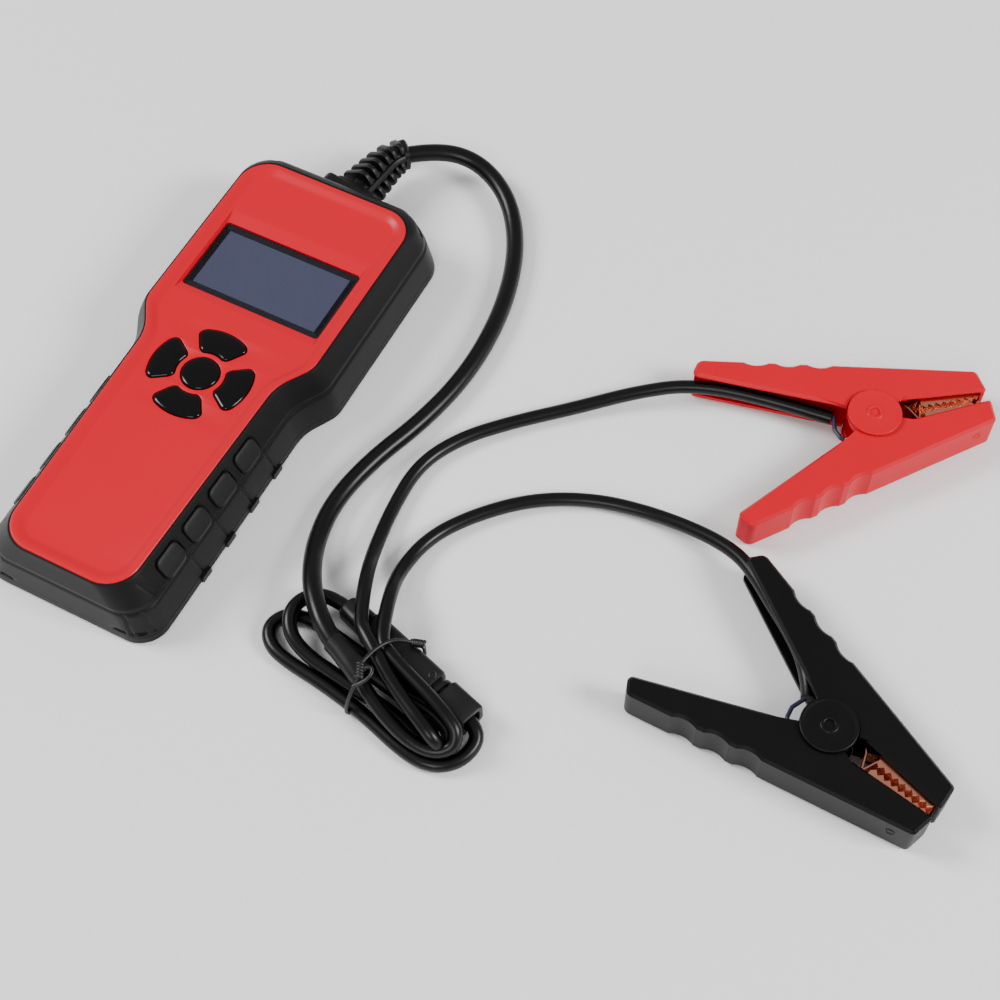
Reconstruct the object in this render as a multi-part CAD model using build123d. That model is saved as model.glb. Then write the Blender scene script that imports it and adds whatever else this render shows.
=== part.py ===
from build123d import *
import os
from dataclasses import dataclass
from math import atan2, cos, pi, radians, sin, tan

# A handheld battery tester: a waisted case with a display and five keys, a trunk cable that
# ends in a Y moulding inside a tied hank, an in-line fuse holder, and two spring clamps.
# Millimetres. Origin: middle of the tester's underside. +X right, +Y to the cable end, +Z up.

# ---- driving dimensions ---------------------------------------------------------------
WALL = 2.2                                 # case wall
FLOOR = 2.0                                # rear cover floor
SEAM_Z = 4.0                               # joint between rear cover and front case
DECK_LOW, DECK_TOP = 21.8, 23.6            # deck that carries the face panel
RIM_Z = 26.4                               # top of the black shoulder
FIELD_Z, PANEL_Z = 25.4, 27.0              # dished field and rim of the face panel
FIT = 0.05                                 # gap round pieces that sit in a recess

KEY_PAD_Y = -5.25                          # centre of the key pad
KEY_TRAVEL = 0.6
OK_R = 7.2
SECTOR_IN, SECTOR_OUT, SECTOR_HALF = 9.6, 20.0, 33.0
KEY_GAP = 0.25
KEY_LOW, KEY_TOP, LIP_TOP = 20.4, 26.0, 21.4

LCD_Y = 44.75
WINDOW = (59.2, 33.0)
VIEW = (53.4, 27.4)
WINDOW_LOW, WINDOW_TOP = 23.7, 24.9

BOARD_LOW, BOARD_TOP = 11.0, 12.6          # main circuit board
SCREWS = [(sx * x, y) for x, y in ((35.2, 85.0), (35.6, 27.0), (25.6, -84.0)) for sx in (-1, 1)]
BOARD_SCREWS = [(sx * x, y) for x, y in ((27.0, 80.0), (18.0, -66.0)) for sx in (-1, 1)]
POST_R, SCREW_R = 3.2, 1.25

PAD_PITCH, PAD_LENGTH, PAD_FIRST_Y, PAD_COUNT = 16.3, 11.8, -74.2, 4

GLAND = (2.0, 101.3, 13.5)                 # where the cable leaves the case
TRUNK_D, LEAD_D = 7.0, 5.2


@dataclass
class Level:
    """Half widths and ends of the case outline at one height."""

    z: float
    head: float
    waist: float
    foot: float
    bottom: float
    top: float
    head_r: float
    foot_r: float


LEVELS = [
    Level(0.0, 43.5, 36.2, 35.9, -100.25, 100.25, 12.0, 10.0),
    Level(1.2, 44.5, 37.2, 36.9, -101.25, 101.25, 13.0, 11.0),
    Level(4.0, 44.1, 36.9, 36.5, -101.0, 101.1, 13.0, 11.0),
    Level(15.5, 42.0, 34.6, 33.4, -99.6, 100.2, 13.5, 12.0),
    Level(24.4, 38.2, 29.9, 27.4, -97.6, 98.6, 13.0, 12.5),
    Level(26.4, 37.0, 28.7, 26.1, -97.25, 94.6, 12.6, 12.8),
    Level(27.0, 36.4, 28.1, 25.5, -96.65, 93.75, 12.0, 12.5),
]
WAIST_LOW, WAIST_HIGH = 1.6, 14.6          # the flanks step out between these
RIM = LEVELS[-1]


def level_at(z):
    """Case outline at height z, between the two nearest levels."""
    for low, high in zip(LEVELS, LEVELS[1:]):
        if low.z <= z <= high.z:
            t = (z - low.z) / (high.z - low.z)
            names = ("head", "waist", "foot", "bottom", "top", "head_r", "foot_r")
            values = [getattr(low, n) + t * (getattr(high, n) - getattr(low, n)) for n in names]
            return Level(z, *values)
    raise ValueError("height outside the case")


def outline(level, z, inset=0.0):
    """Face of the waisted outline, moved in by inset, at height z."""
    head, waist, foot = level.head - inset, level.waist - inset, level.foot - inset
    low, high = level.bottom + inset, level.top - inset
    right = [(foot, low), (waist, WAIST_LOW), (head, WAIST_HIGH), (head, high)]
    left = [(-x, y) for x, y in reversed(right)]
    foot_r, head_r = max(level.foot_r - inset, 3.0), max(level.head_r - inset, 3.0)
    radii = [foot_r, 20.0, 12.0, head_r, head_r, 12.0, 20.0, foot_r]
    points = [(x, y, z) for x, y in right + left]
    return make_face(FilletPolyline(*points, radius=radii, close=True))


def hull(low, high, inset=0.0):
    """Solid between two heights that follows the case outline, moved in by inset."""
    heights = [low] + [lv.z for lv in LEVELS if low < lv.z < high] + [high]
    return loft([outline(level_at(z), z, inset) for z in heights], ruled=True)


def prism(level, low, high, inset=0.0):
    """Straight solid with one level's outline."""
    return extrude(outline(level, low, inset), high - low, dir=(0, 0, 1))


def block(x, y, low, high, width, depth, r=0.0):
    """Upright box with rounded vertical edges, centred on x, y."""
    base = RectangleRounded(width, depth, r) if r else Rectangle(width, depth)
    return extrude(Pos(x, y, low) * base, high - low)


def rod(x, y, low, high, r):
    """Upright cylinder."""
    return extrude(Pos(x, y, low) * Circle(r), high - low)


def tube_between(a, b, r):
    """Straight cylinder from point a to point b."""
    run = Vector(*b) - Vector(*a)
    return extrude(Plane(origin=a, z_dir=run) * Circle(r), run.length)


# ---- keys -------------------------------------------------------------------------------
KEYS = {"key_up": 90.0, "key_down": 270.0, "key_left": 180.0, "key_right": 0.0, "key_ok": None}


def key_centre(angle):
    """Middle of a key on the pad."""
    if angle is None:
        return 0.0, KEY_PAD_Y
    r = (SECTOR_IN + SECTOR_OUT) / 2
    return r * cos(radians(angle)), KEY_PAD_Y + r * sin(radians(angle))


def key_face(angle, grow=0.0):
    """Plan of a key, grown by a margin: a disc, or a rounded sector about the disc."""
    if angle is None:
        return Pos(0, KEY_PAD_Y) * Circle(OK_R + grow)
    inner, outer = SECTOR_IN - grow, SECTOR_OUT + grow
    half = radians(SECTOR_HALF) + grow / outer
    ends = [(r * cos(s * half), r * sin(s * half)) for r in (inner, outer) for s in (-1, 1)]
    edges = [
        ThreePointArc(ends[0], (inner, 0), ends[1]),
        Line(ends[1], ends[3]),
        ThreePointArc(ends[3], (outer, 0), ends[2]),
        Line(ends[2], ends[0]),
    ]
    face = make_face(edges)
    corners = face.vertices().sort_by(Axis.X)
    face = fillet(corners[:2], 2.0 + grow)
    face = fillet(face.vertices().sort_by_distance((outer + 3, 0))[:2], 3.4 + grow)
    return Pos(0, KEY_PAD_Y) * Rot(0, 0, angle) * face


def key(angle):
    """Glossy key: a crowned cap, a lip under the deck and a stem over its dome."""
    x, y = key_centre(angle)
    cap = extrude(Pos(0, 0, KEY_LOW) * key_face(angle), KEY_TOP - KEY_LOW)
    cap = chamfer(cap.faces().sort_by(Axis.Z)[-1].edges(), 0.5)
    lip = extrude(Pos(0, 0, KEY_LOW) * key_face(angle, 0.9), LIP_TOP - KEY_LOW)
    return cap + lip + rod(x, y, 17.7, KEY_LOW + 0.1, 2.0)


# ---- case -------------------------------------------------------------------------------
PAD_SPOTS = [PAD_FIRST_Y + i * PAD_PITCH for i in range(PAD_COUNT)]


def pad_zone(side, y, grow=0.0):
    """Column that marks out one grip pad on the shoulder."""
    column = RectangleRounded(30, PAD_LENGTH + 2 * grow, 3.0)
    lean = Pos(side * 44.6, y, 14.0 - grow) * column
    return extrude(lean, 10.4 + 2 * grow)


def grips(side):
    """Soft pads let into the shoulder, four to a flank."""
    skin = hull(13.0, 25.2, -0.5) - hull(13.0, 25.2, 0.7)
    return Compound([skin & pad_zone(side, y) for y in PAD_SPOTS])


def rear_cover():
    """Shallow tray with screw posts, foot tabs and a blank recess for a rating plate."""
    tray = hull(0.0, SEAM_Z) - prism(level_at(SEAM_Z), FLOOR, SEAM_Z, WALL)
    tray += [rod(x, y, FLOOR - 0.1, BOARD_LOW, POST_R) for x, y in SCREWS]
    tray -= [rod(x, y, -1, BOARD_LOW + 1, SCREW_R + FIT) for x, y in SCREWS]
    tray -= [rod(x, y, -1, 3.4, 2.75) for x, y in SCREWS]
    for side in (-1, 1):
        for y in PAD_SPOTS:
            tray += block(side * 36.6, y + 8.0, 0.4, 3.4, 2.2, 5.4)
    return tray - block(0, 20, -1, 0.5, 44, 56, 3)


def front_case():
    """Black upper shell: drafted wall, steep shoulder and a recessed deck for the face panel."""
    shell = hull(SEAM_Z, RIM_Z) - hull(SEAM_Z, DECK_LOW, WALL)
    shell -= prism(RIM, DECK_TOP, RIM_Z + 1, -FIT)
    shell -= block(0, LCD_Y, DECK_LOW - 1, DECK_TOP + 1, 56, 30)
    for angle in KEYS.values():
        shell -= extrude(Pos(0, 0, DECK_LOW - 1) * key_face(angle, KEY_GAP), 4)
    posts = [rod(x, y, BOARD_LOW, DECK_LOW + 0.1, POST_R) for x, y in SCREWS]
    posts += [rod(x, y, BOARD_TOP, DECK_LOW + 0.1, 2.6) for x, y in BOARD_SCREWS]
    shell += posts
    shell -= [rod(x, y, BOARD_LOW - 1, 19.0, SCREW_R) for x, y in SCREWS]
    shell -= [rod(x, y, BOARD_LOW - 1, 17.6, 0.9) for x, y in BOARD_SCREWS]
    gx, gy, gz = GLAND
    shell -= tube_between((gx, gy - 12, gz), (gx, gy + 3, gz), 6.1)
    shell -= [grips(side) for side in (-1, 1)]
    return shell


def face_panel():
    """Red panel: a dished field inside a raised rim, with a bevelled display recess."""
    panel = prism(RIM, DECK_TOP, PANEL_Z)
    panel = chamfer(panel.faces().sort_by(Axis.Z)[-1].edges(), 0.35)
    dish = [outline(RIM, FIELD_Z, 4.6), outline(RIM, PANEL_Z + 0.2, 2.2)]
    panel -= loft(dish, ruled=True)
    bevel = [
        Pos(0, LCD_Y, WINDOW_TOP - 0.1) * RectangleRounded(59.6, 33.4, 1.5),
        Pos(0, LCD_Y + 1.0, FIELD_Z + 0.1) * RectangleRounded(66.0, 42.0, 3.0),
    ]
    panel -= loft(bevel, ruled=True)
    panel -= block(0, LCD_Y, DECK_TOP - 1, PANEL_Z, WINDOW[0] + 0.2, WINDOW[1] + 0.2, 1.2)
    for angle in KEYS.values():
        panel -= extrude(Pos(0, 0, DECK_TOP - 1) * key_face(angle, KEY_GAP), 5)
    return panel


# ---- display and electronics ---------------------------------------------------------------
def lcd_mask():
    """Printed border under the window."""
    ring = block(0, LCD_Y, DECK_TOP, WINDOW_LOW, *WINDOW, 1.1)
    return ring - block(0, LCD_Y, DECK_TOP - 1, WINDOW_LOW + 1, *VIEW)


def main_board():
    """Circuit board that fills the head and the handle between the screw posts."""
    head = block(0, 52, BOARD_LOW, BOARD_TOP, 62, 68, 2)
    handle = block(0, -28, BOARD_LOW, BOARD_TOP, 44, 96, 2)
    holes = [rod(x, y, BOARD_LOW - 1, BOARD_TOP + 1, 1.1) for x, y in BOARD_SCREWS]
    return head + handle - holes


def keypad_mat():
    """Silicone mat with a hollow dome under each key."""
    mat = block(0, KEY_PAD_Y, BOARD_TOP, BOARD_TOP + 0.8, 42, 42, 3)
    for angle in KEYS.values():
        x, y = key_centre(angle)
        foot = BOARD_TOP + 0.7
        mat += Pos(x, y, (foot + 17.0) / 2) * Cone(4.6, 2.6, 17.0 - foot)
        mat -= Pos(x, y, (BOARD_TOP + 16.0) / 2) * Cone(3.8, 1.8, 16.0 - BOARD_TOP)
    return mat


def key_contacts():
    """Gold pads on the board under the domes."""
    return Compound([rod(*key_centre(a), BOARD_TOP, BOARD_TOP + 0.1, 2.4) for a in KEYS.values()])


def header_pins():
    """Pin row between the main board and the display board."""
    return Compound([rod(-20 + i * 2.54, 27.0, BOARD_TOP, 17.0, 0.4) for i in range(16)])


def load_resistors():
    """Ceramic load resistors on the underside of the board."""
    return Compound([block(x, 58, 4.6, BOARD_LOW, 9.0, 24.0, 1.0) for x in (-16, -4, 8)])


def inner_wires():
    """Four cores from the strain relief to the terminal block."""
    gx, _, gz = GLAND
    wires = []
    for i in range(4):
        x = gx + (i - 1.5) * 2.4
        wires.append(tube_between((x, 80.9, gz + 2.4), (gx + (i - 1.5) * 2.0, 92.6, gz), 0.9))
    return Compound(wires)


def case_screw(x, y):
    """Pan-head screw in a counterbore of the rear cover."""
    return rod(x, y, 1.4, 3.4, 2.6) + rod(x, y, 3.3, 18.6, SCREW_R - 0.02)


def board_screw(x, y):
    """Small screw that holds the board to the front case."""
    return rod(x, y, BOARD_LOW - 1.6, BOARD_LOW, 2.0) + rod(x, y, BOARD_LOW - 0.1, 17.0, 0.88)


# ---- strain relief and cords ---------------------------------------------------------------
BOOT_STRAIGHT, BOOT_BEND, BOOT_TURN, BOOT_LEAN = 21.0, 12.5, 40.0, 8.0
BOOT_FINS = 7


def boot_axis():
    """Centre line of the strain relief: straight out of the case, then curving right."""
    gx, gy, gz = GLAND
    lean = radians(90 - BOOT_LEAN)
    knee = (gx + BOOT_STRAIGHT * cos(lean), gy + BOOT_STRAIGHT * sin(lean), gz)
    turn = radians(BOOT_TURN)
    chord = 2 * BOOT_BEND / turn * sin(turn / 2)
    way = lean - turn / 2
    tip = (knee[0] + chord * cos(way), knee[1] + chord * sin(way), gz)
    straight = Line(GLAND, knee)
    bend = TangentArc(knee, tip, tangent=straight % 1)
    return Wire([straight, bend])


def boot_fin(axis, t, r):
    """One flexing rib, square to the axis."""
    return extrude(Plane(origin=axis @ t, z_dir=axis % t) * Circle(r), 1.0, both=True)


def strain_relief():
    """Moulded boot: stepped flange, necked core, fins and a collar at the tip."""
    axis = boot_axis()
    gx, gy, gz = GLAND
    core = sweep(Plane(origin=axis @ 0, z_dir=axis % 0) * Circle(4.9), path=axis)
    body = core + tube_between((gx, gy - 8, gz), (gx, gy + 0.5, gz), 6.0)
    body += Pos(gx, gy + 1.0, gz) * Box(26.4, 2.0, 15.0)
    body += Pos(gx + 0.6, gy + 2.6, gz) * Box(18.6, 2.0, 12.6)
    for i in range(BOOT_FINS):
        t = 0.2 + 0.765 * i / (BOOT_FINS - 1)
        body += boot_fin(axis, t, 7.4 - 1.1 * t)
    return body


BOOT_TIP = tuple(boot_axis() @ 1)

TRUNK = [
    BOOT_TIP, (20.9, 141.2, 12.9), (36.5, 144.8, 10.2), (52.6, 137.6, 6.9), (64.8, 123.0, 4.4),
    (73.4, 103.0, 3.6), (78.6, 79.0, 3.6), (79.4, 52.0, 3.6), (74.6, 26.0, 3.6),
    (66.6, 3.0, 3.6), (62.8, -19.0, 3.6), (66.0, -38.0, 3.8), (74.6, -55.0, 5.8),
    (88.0, -69.0, 9.8),
]
RED_LEAD = [
    (99.8, -64.0, 14.8), (92.2, -47.0, 13.0), (86.4, -31.5, 4.8), (83.0, -12.0, 2.8),
    (82.4, 8.5, 2.8), (90.4, 26.0, 2.8), (105.0, 42.0, 2.8), (122.5, 58.0, 2.8),
    (140.2, 73.4, 5.2), (158.6, 84.6, 8.4), (185.4, 91.3, 8.5), (211.0, 94.15, 8.5),
]
BLACK_LEAD = [
    (109.6, -67.0, 14.8), (103.2, -50.0, 13.4), (98.6, -35.0, 4.8), (100.6, -17.0, 2.8),
    (110.8, -1.0, 2.8), (127.0, 15.0, 2.8), (147.0, 25.2, 2.8), (168.0, 29.0, 3.6),
    (189.0, 27.0, 6.4), (207.6, 20.6, 8.4), (228.5, 2.5, 8.5), (245.6, -16.8, 8.5),
]

HOLDER_LEFT, HOLDER_RIGHT, HOLDER_Z = (89.4, -56.2), (148.5, -75.0), 5.8
HANK = [
    (67.0, -87.0), (66.6, -66.0), (73.0, -57.6), (86.0, -58.6), (89.6, -63.6),
    (148.0, -82.2), (155.6, -81.5), (155.0, -93.0), (147.0, -98.6), (131.0, -99.0),
    (108.0, -92.6), (84.0, -91.6),
]
HANK_TOP = 12.4
SPLITTER = ((116.0, -81.0, 6.6), (134.0, -86.6, 5.4))


def bend_radii(points):
    """Radius of the arc at each inner point: as large as its two runs allow."""
    radii = []
    for a, b, c in zip(points, points[1:], points[2:]):
        into, out = Vector(*b) - Vector(*a), Vector(*c) - Vector(*b)
        turn = radians(into.get_angle(out))
        radii.append(0.45 * min(into.length, out.length) / tan(turn / 2))
    return radii


def cord(name, points, diameter):
    """Plain tube of straight runs and tangent arcs; its volume is compared with its length."""
    radii = bend_radii(points)
    path = FilletPolyline(*points, radius=radii)
    tube = sweep(Plane(origin=path @ 0, z_dir=path % 0) * Circle(diameter / 2), path=path)
    ratio = tube.volume / (path.length * pi * diameter**2 / 4)
    print(f"{name}: {path.length:.0f} mm, tightest radius {min(radii):.1f}, volume ratio {ratio:.4f}")
    print("   radii", " ".join(f"{r:.0f}" for r in radii))
    return tube


def cable_hank():
    """Outer shape of the tied bundle of cable."""
    base = make_face(FilletPolyline(*[(x, y, 0.0) for x, y in HANK], radius=3.0, close=True))
    slab = extrude(base, HANK_TOP, dir=(0, 0, 1))
    return chamfer(slab.faces().sort_by(Axis.Z)[-1].edges(), 2.0)


def holder_plane(distance):
    """Plane square to the fuse holder's axis, at a distance from its left end."""
    way = Vector(*HOLDER_RIGHT) - Vector(*HOLDER_LEFT)
    start = Vector(*HOLDER_LEFT) + way.normalized() * distance
    return Plane(origin=(start.X, start.Y, HOLDER_Z), x_dir=(0, 0, 1), z_dir=(way.X, way.Y, 0))


def holder_piece(start, end, height, width, r):
    """Length of the holder with a rounded rectangular section."""
    return extrude(holder_plane(start) * RectangleRounded(height, width, r), end - start)


def fuse_holder_body():
    """Long half of the in-line fuse holder, with its rear sleeve."""
    return holder_piece(0, 12, 8.6, 8.6, 3.0) + holder_piece(11.5, 45, 10.8, 11.0, 3.2)


def fuse_holder_cap():
    """Short half: a ring groove and a square-mouthed sleeve."""
    neck = holder_piece(45, 49, 8.0, 8.4, 3.4)
    ring = holder_piece(46.4, 47.8, 9.4, 9.8, 4.0)
    sleeve = holder_piece(48.5, 62.5, 10.4, 11.0, 2.4)
    return neck + ring + sleeve - holder_piece(58, 64, 6.6, 7.0, 2.0)


def y_splitter():
    """Moulding where the trunk cable divides into the two leads."""
    a, b = Vector(*SPLITTER[0]), Vector(*SPLITTER[1])
    plane = Plane(origin=a, x_dir=(0, 0, 1), z_dir=b - a)
    return extrude(plane * RectangleRounded(8.4, 11.4, 3.6), (b - a).length)


def cable_tie():
    """Twisted wire tie drawn round the bundle and the fuse holder."""
    plane = Plane(origin=(117.2, -78.4, 0), x_dir=(0.302, 0.953, 0), z_dir=(0.953, -0.302, 0))
    corners = [(-17.4, 0.9), (-17.4, 8.0), (-9.0, 13.6), (6.0, 13.6), (16.9, 11.9), (19.0, 0.9)]
    points = [plane.origin + plane.x_dir * u + Vector(0, 0, w) for u, w in corners]
    loop = FilletPolyline(*points, radius=1.5, close=True)
    start = Plane(origin=loop @ 0, z_dir=loop % 0)
    return sweep(start * Circle(0.7), path=loop)


# ---- clamps ---------------------------------------------------------------------------------
SHELL_LOW, SHELL_TOP, PLATE = 1.4, 15.6, 1.6
DISC_R, HUB_R, EAR_R, PIN_R, PIN_FIT = 10.0, 10.0, 9.4, 2.2, 0.06
CLAMP_TOP = 17.0
EAR_GAP = 0.3                              # between an ear and the hub cheek over it
SCALLOPS, SCALLOP_R = (-36.0, -24.5, -13.0), 9.0

# Plan of one half: y > 0, x along the closed jaws towards the tip.
BACK_END = [(-61.2, 31.2), (-57.0, 37.2)]
TIP_END = [(43.4, 11.3), (44.4, 2.0)]
THROAT, HEEL = (12.0, 4.6), (-10.0, 6.2)


@dataclass
class Clamp:
    """Place of one clamp: the pivot and the direction of its closed jaws."""

    colour: str
    x: float
    y: float
    heading: float

    def place(self, shape):
        """Shape moved from the clamp's own frame to its place."""
        return Pos(self.x, self.y, 0) * Rot(0, 0, self.heading) * shape


CLAMPS = [Clamp("red", 225.3, 98.3, 38.9), Clamp("black", 257.2, -26.1, -16.0)]


def half_plan(wall=0.0, closed=False):
    """Plan of the upper half; with a wall it is the hollow, open towards the other half.

    A closed hollow also keeps a wall across the end of the handle.
    """
    back_in, back_out = BACK_END
    tip_out, tip_in = TIP_END
    if not wall:
        points = [back_in, back_out, tip_out, tip_in, THROAT, (0.0, 0.0), HEEL]
        return make_face(FilletPolyline(*points, radius=[2.0, 3.0, 2.0, 1.0, 0, 0, 0], close=True))
    slope = atan2(tip_out[1] - back_out[1], tip_out[0] - back_out[0])
    drop = wall / cos(slope)
    if closed:
        start = [(back_in[0] + 3.4, back_in[1] - 9.0), (back_in[0] + 3.4, back_in[1] - 1.7),
                 (back_out[0] + 1.6, back_out[1] - 1.6 * tan(-slope) - drop)]
    else:
        start = [(back_in[0], back_in[1] - 9.0), (back_in[0] - 12.0, back_in[1] + 2.4),
                 (back_out[0] - 9.0, back_out[1] + 9.0 * tan(-slope) - drop)]
    points = start + [(tip_out[0] - 1.6, tip_out[1] - drop + 0.4), (tip_in[0] - 1.6, -3.0), (-10.0, -3.0)]
    return make_face(Polyline(*points, close=True))


def slab(face, low, high):
    """Plan face drawn up between two heights."""
    return extrude(Pos(0, 0, low) * face, high - low)


def scallops():
    """Finger hollows along the back of a handle."""
    back_out, tip_out = BACK_END[1], TIP_END[0]
    slope = (tip_out[1] - back_out[1]) / (tip_out[0] - back_out[0])
    cuts = []
    for x in SCALLOPS:
        y = back_out[1] + slope * (x - back_out[0])
        cuts.append(rod(x + 1.9, y + SCALLOP_R - 1.5, -1, 20, SCALLOP_R))
    return cuts


def half_shell(closed=False):
    """Moulded channel: outer wall, two cheeks and an open inner side."""
    shell = slab(half_plan(), SHELL_LOW, SHELL_TOP)
    shell -= scallops()
    top_edges = shell.faces().sort_by(Axis.Z)[-1].edges()
    shell = chamfer(top_edges.filter_by(lambda e: e.center().Y > 12), 1.0)
    hollow = slab(half_plan(2.8, closed), SHELL_LOW + PLATE, SHELL_TOP - PLATE)
    return shell - hollow


def fixed_shell():
    """Half that carries the lead: its ears sit inside the hub of the other half."""
    shell = half_shell() - rod(0, 0, -1, 20, HUB_R + 0.4)
    sector = slab(half_plan(), 0, 20) & (rod(0, 0, 0, 20, 15.0) - rod(0, 0, -1, 21, HUB_R + 0.4))
    cheek_low, cheek_high = SHELL_LOW + PLATE, SHELL_TOP - PLATE
    low_ear, high_ear = (cheek_low + EAR_GAP, 4.9), (12.1, cheek_high - EAR_GAP)
    for low, high in (low_ear, high_ear):
        shell += rod(0, 0, low, high, EAR_R) + slab(Pos(0, 11.0) * Rectangle(13.0, 9.0), low, high)
    for low, high in ((cheek_low, low_ear[0]), (high_ear[1], cheek_high)):
        shell += sector & slab(Rectangle(80, 80), low - 0.1, high + 0.1)
    return shell - rod(0, 0, -1, 20, PIN_R + PIN_FIT)


def moving_shell():
    """Half that turns: a full hub disc in each cheek and a closed end to its handle."""
    shell = half_shell(closed=True)
    for low in (SHELL_LOW, SHELL_TOP - PLATE):
        shell += rod(0, 0, low, low + PLATE, HUB_R)
    shell -= rod(0, 0, SHELL_LOW + PLATE, SHELL_TOP - PLATE, EAR_R + 1.4)
    return mirror(shell - rod(0, 0, -1, 20, PIN_R + PIN_FIT), about=Plane.XZ)


def pivot():
    """Pin with a broad disc at each end."""
    pin = rod(0, 0, 0, CLAMP_TOP, PIN_R)
    pin += rod(0, 0, 0, SHELL_LOW - 0.15, DISC_R)
    pin += rod(0, 0, SHELL_TOP + 0.15, CLAMP_TOP, DISC_R)
    return pin + rod(0, 0, CLAMP_TOP, CLAMP_TOP + 0.25, 2.6)


def spring():
    """Torsion spring: coil round the pin, one long leg in the fixed handle."""
    wire_r, coil_r, low, high = 0.7, 4.2, 5.8, 11.2
    path = Helix(pitch=1.55, height=high - low, radius=coil_r)
    coil = sweep(Plane(origin=path @ 0, z_dir=path % 0) * Circle(wire_r), path=path)
    coil = Pos(0, 0, low) * coil
    end = path @ 1
    top = (end.X, end.Y, high)
    leg = tube_between(top, (end.X - 3.0, end.Y + 5.0, high), wire_r)
    return coil + leg


def jaw_plate():
    """Copper channel in the jaw, with teeth along the edges of both flanges."""
    teeth, pitch, first = 8, 2.8, 19.2
    outer = [(first, 5.9), (first + teeth * pitch, 4.9)]
    zigzag = [outer[0], outer[1]]
    for i in reversed(range(teeth)):
        x = first + i * pitch
        zigzag += [(x + pitch, 1.9), (x + pitch / 2, 0.45)]
    zigzag += [(first, 1.9)]
    plan = make_face(Polyline(*zigzag, close=True))
    flanges = slab(plan, 4.0, 4.8) + slab(plan, 12.2, 13.0)
    web = make_face(Polyline(outer[0], outer[1], (outer[1][0], 4.1), (first, 5.1), close=True))
    tang = slab(make_face(Polyline((first, 5.9), (first, 5.1), (15.0, 2.6), (15.0, 3.6), close=True)), 6.0, 11.0)
    return flanges + slab(web, 4.0, 13.0) + tang


def sense_wire():
    """Thin insulated wire from the end of the lead sheath round to the jaws."""
    points = [(-13.1, 5.4, 9.6), (-14.4, -0.2, 9.6), (-13.2, -4.6, 9.6), (-9.6, -6.4, 9.6)]
    path = FilletPolyline(*points, radius=2.0)
    return sweep(Plane(origin=path @ 0, z_dir=path % 0) * Circle(0.8), path=path)


# ---- the whole set of parts -----------------------------------------------------------------
def tester_parts():
    """Case, display, keys and electronics."""
    gx, gy, gz = GLAND
    parts = {
        "rear_cover": rear_cover(),
        "front_case": front_case(),
        "face_panel": face_panel(),
        "grip_pads_left": grips(-1),
        "grip_pads_right": grips(1),
        "lcd_window": block(0, LCD_Y, WINDOW_LOW, WINDOW_TOP, *WINDOW, 1.1),
        "lcd_mask": lcd_mask(),
        "lcd_glass": block(0, LCD_Y, DECK_LOW, DECK_TOP, 55.8, 29.8),
        "lcd_backlight": block(0, LCD_Y, 18.6, DECK_LOW, 58.0, 32.0, 0.5),
        "lcd_board": block(0, LCD_Y, 17.0, 18.6, 62.0, 42.0, 1.0),
        "header_pins": header_pins(),
        "main_board": main_board(),
        "keypad_mat": keypad_mat(),
        "key_contacts": key_contacts(),
        "microcontroller": block(-8, -42, BOARD_TOP, 14.4, 12.0, 12.0),
        "power_relay": block(6, -60, BOARD_TOP, 20.4, 15.0, 19.0, 0.5),
        "buzzer": rod(10, -38, BOARD_TOP, 19.0, 5.5),
        "smoothing_capacitor": rod(22, 36, 3.0, BOARD_LOW, 5.0),
        "load_resistors": load_resistors(),
        "terminal_block": block(gx, 78.0, BOARD_TOP, 18.2, 15.0, 5.2, 0.4),
        "inner_wires": inner_wires(),
        "case_screws": Compound([case_screw(x, y) for x, y in SCREWS]),
        "board_screws": Compound([board_screw(x, y) for x, y in BOARD_SCREWS]),
    }
    parts.update({name: key(angle) for name, angle in KEYS.items()})
    return parts


def cable_parts():
    """Strain relief, cords, hank and the pieces on them."""
    return {
        "strain_relief": strain_relief(),
        "trunk_cable": cord("trunk_cable", TRUNK, TRUNK_D),
        "red_lead": cord("red_lead", RED_LEAD, LEAD_D),
        "black_lead": cord("black_lead", BLACK_LEAD, LEAD_D),
        "cable_hank": cable_hank(),
        "y_splitter": y_splitter(),
        "fuse_holder_body": fuse_holder_body(),
        "fuse_holder_cap": fuse_holder_cap(),
        "cable_tie": cable_tie(),
    }


def clamp_parts(clamp):
    """One spring clamp: two shells, pivot, spring, jaw plates and wire."""
    pieces = {
        "clamp_fixed_half": fixed_shell(),
        "clamp_moving_half": moving_shell(),
        "clamp_pivot": pivot(),
        "clamp_spring": spring(),
        "jaw_plate_fixed": jaw_plate(),
        "jaw_plate_moving": mirror(jaw_plate(), about=Plane.XZ),
        "sense_wire": sense_wire(),
    }
    return {f"{clamp.colour}_{name}": clamp.place(piece) for name, piece in pieces.items()}


def main():
    """Build every node and write one STEP file for each."""
    os.makedirs("parts", exist_ok=True)
    parts = tester_parts() | cable_parts()
    for clamp in CLAMPS:
        parts |= clamp_parts(clamp)
    for name, shape in parts.items():
        export_step(shape, f"parts/{name}.step")


main()
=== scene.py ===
"""Battery tester with its cables and two spring clamps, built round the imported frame."""

import logging
import math
from collections.abc import Callable, Iterable, Sequence
from dataclasses import dataclass, field
from enum import Enum

import bmesh
import bpy
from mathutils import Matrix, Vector
from mathutils.geometry import tessellate_polygon


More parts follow.
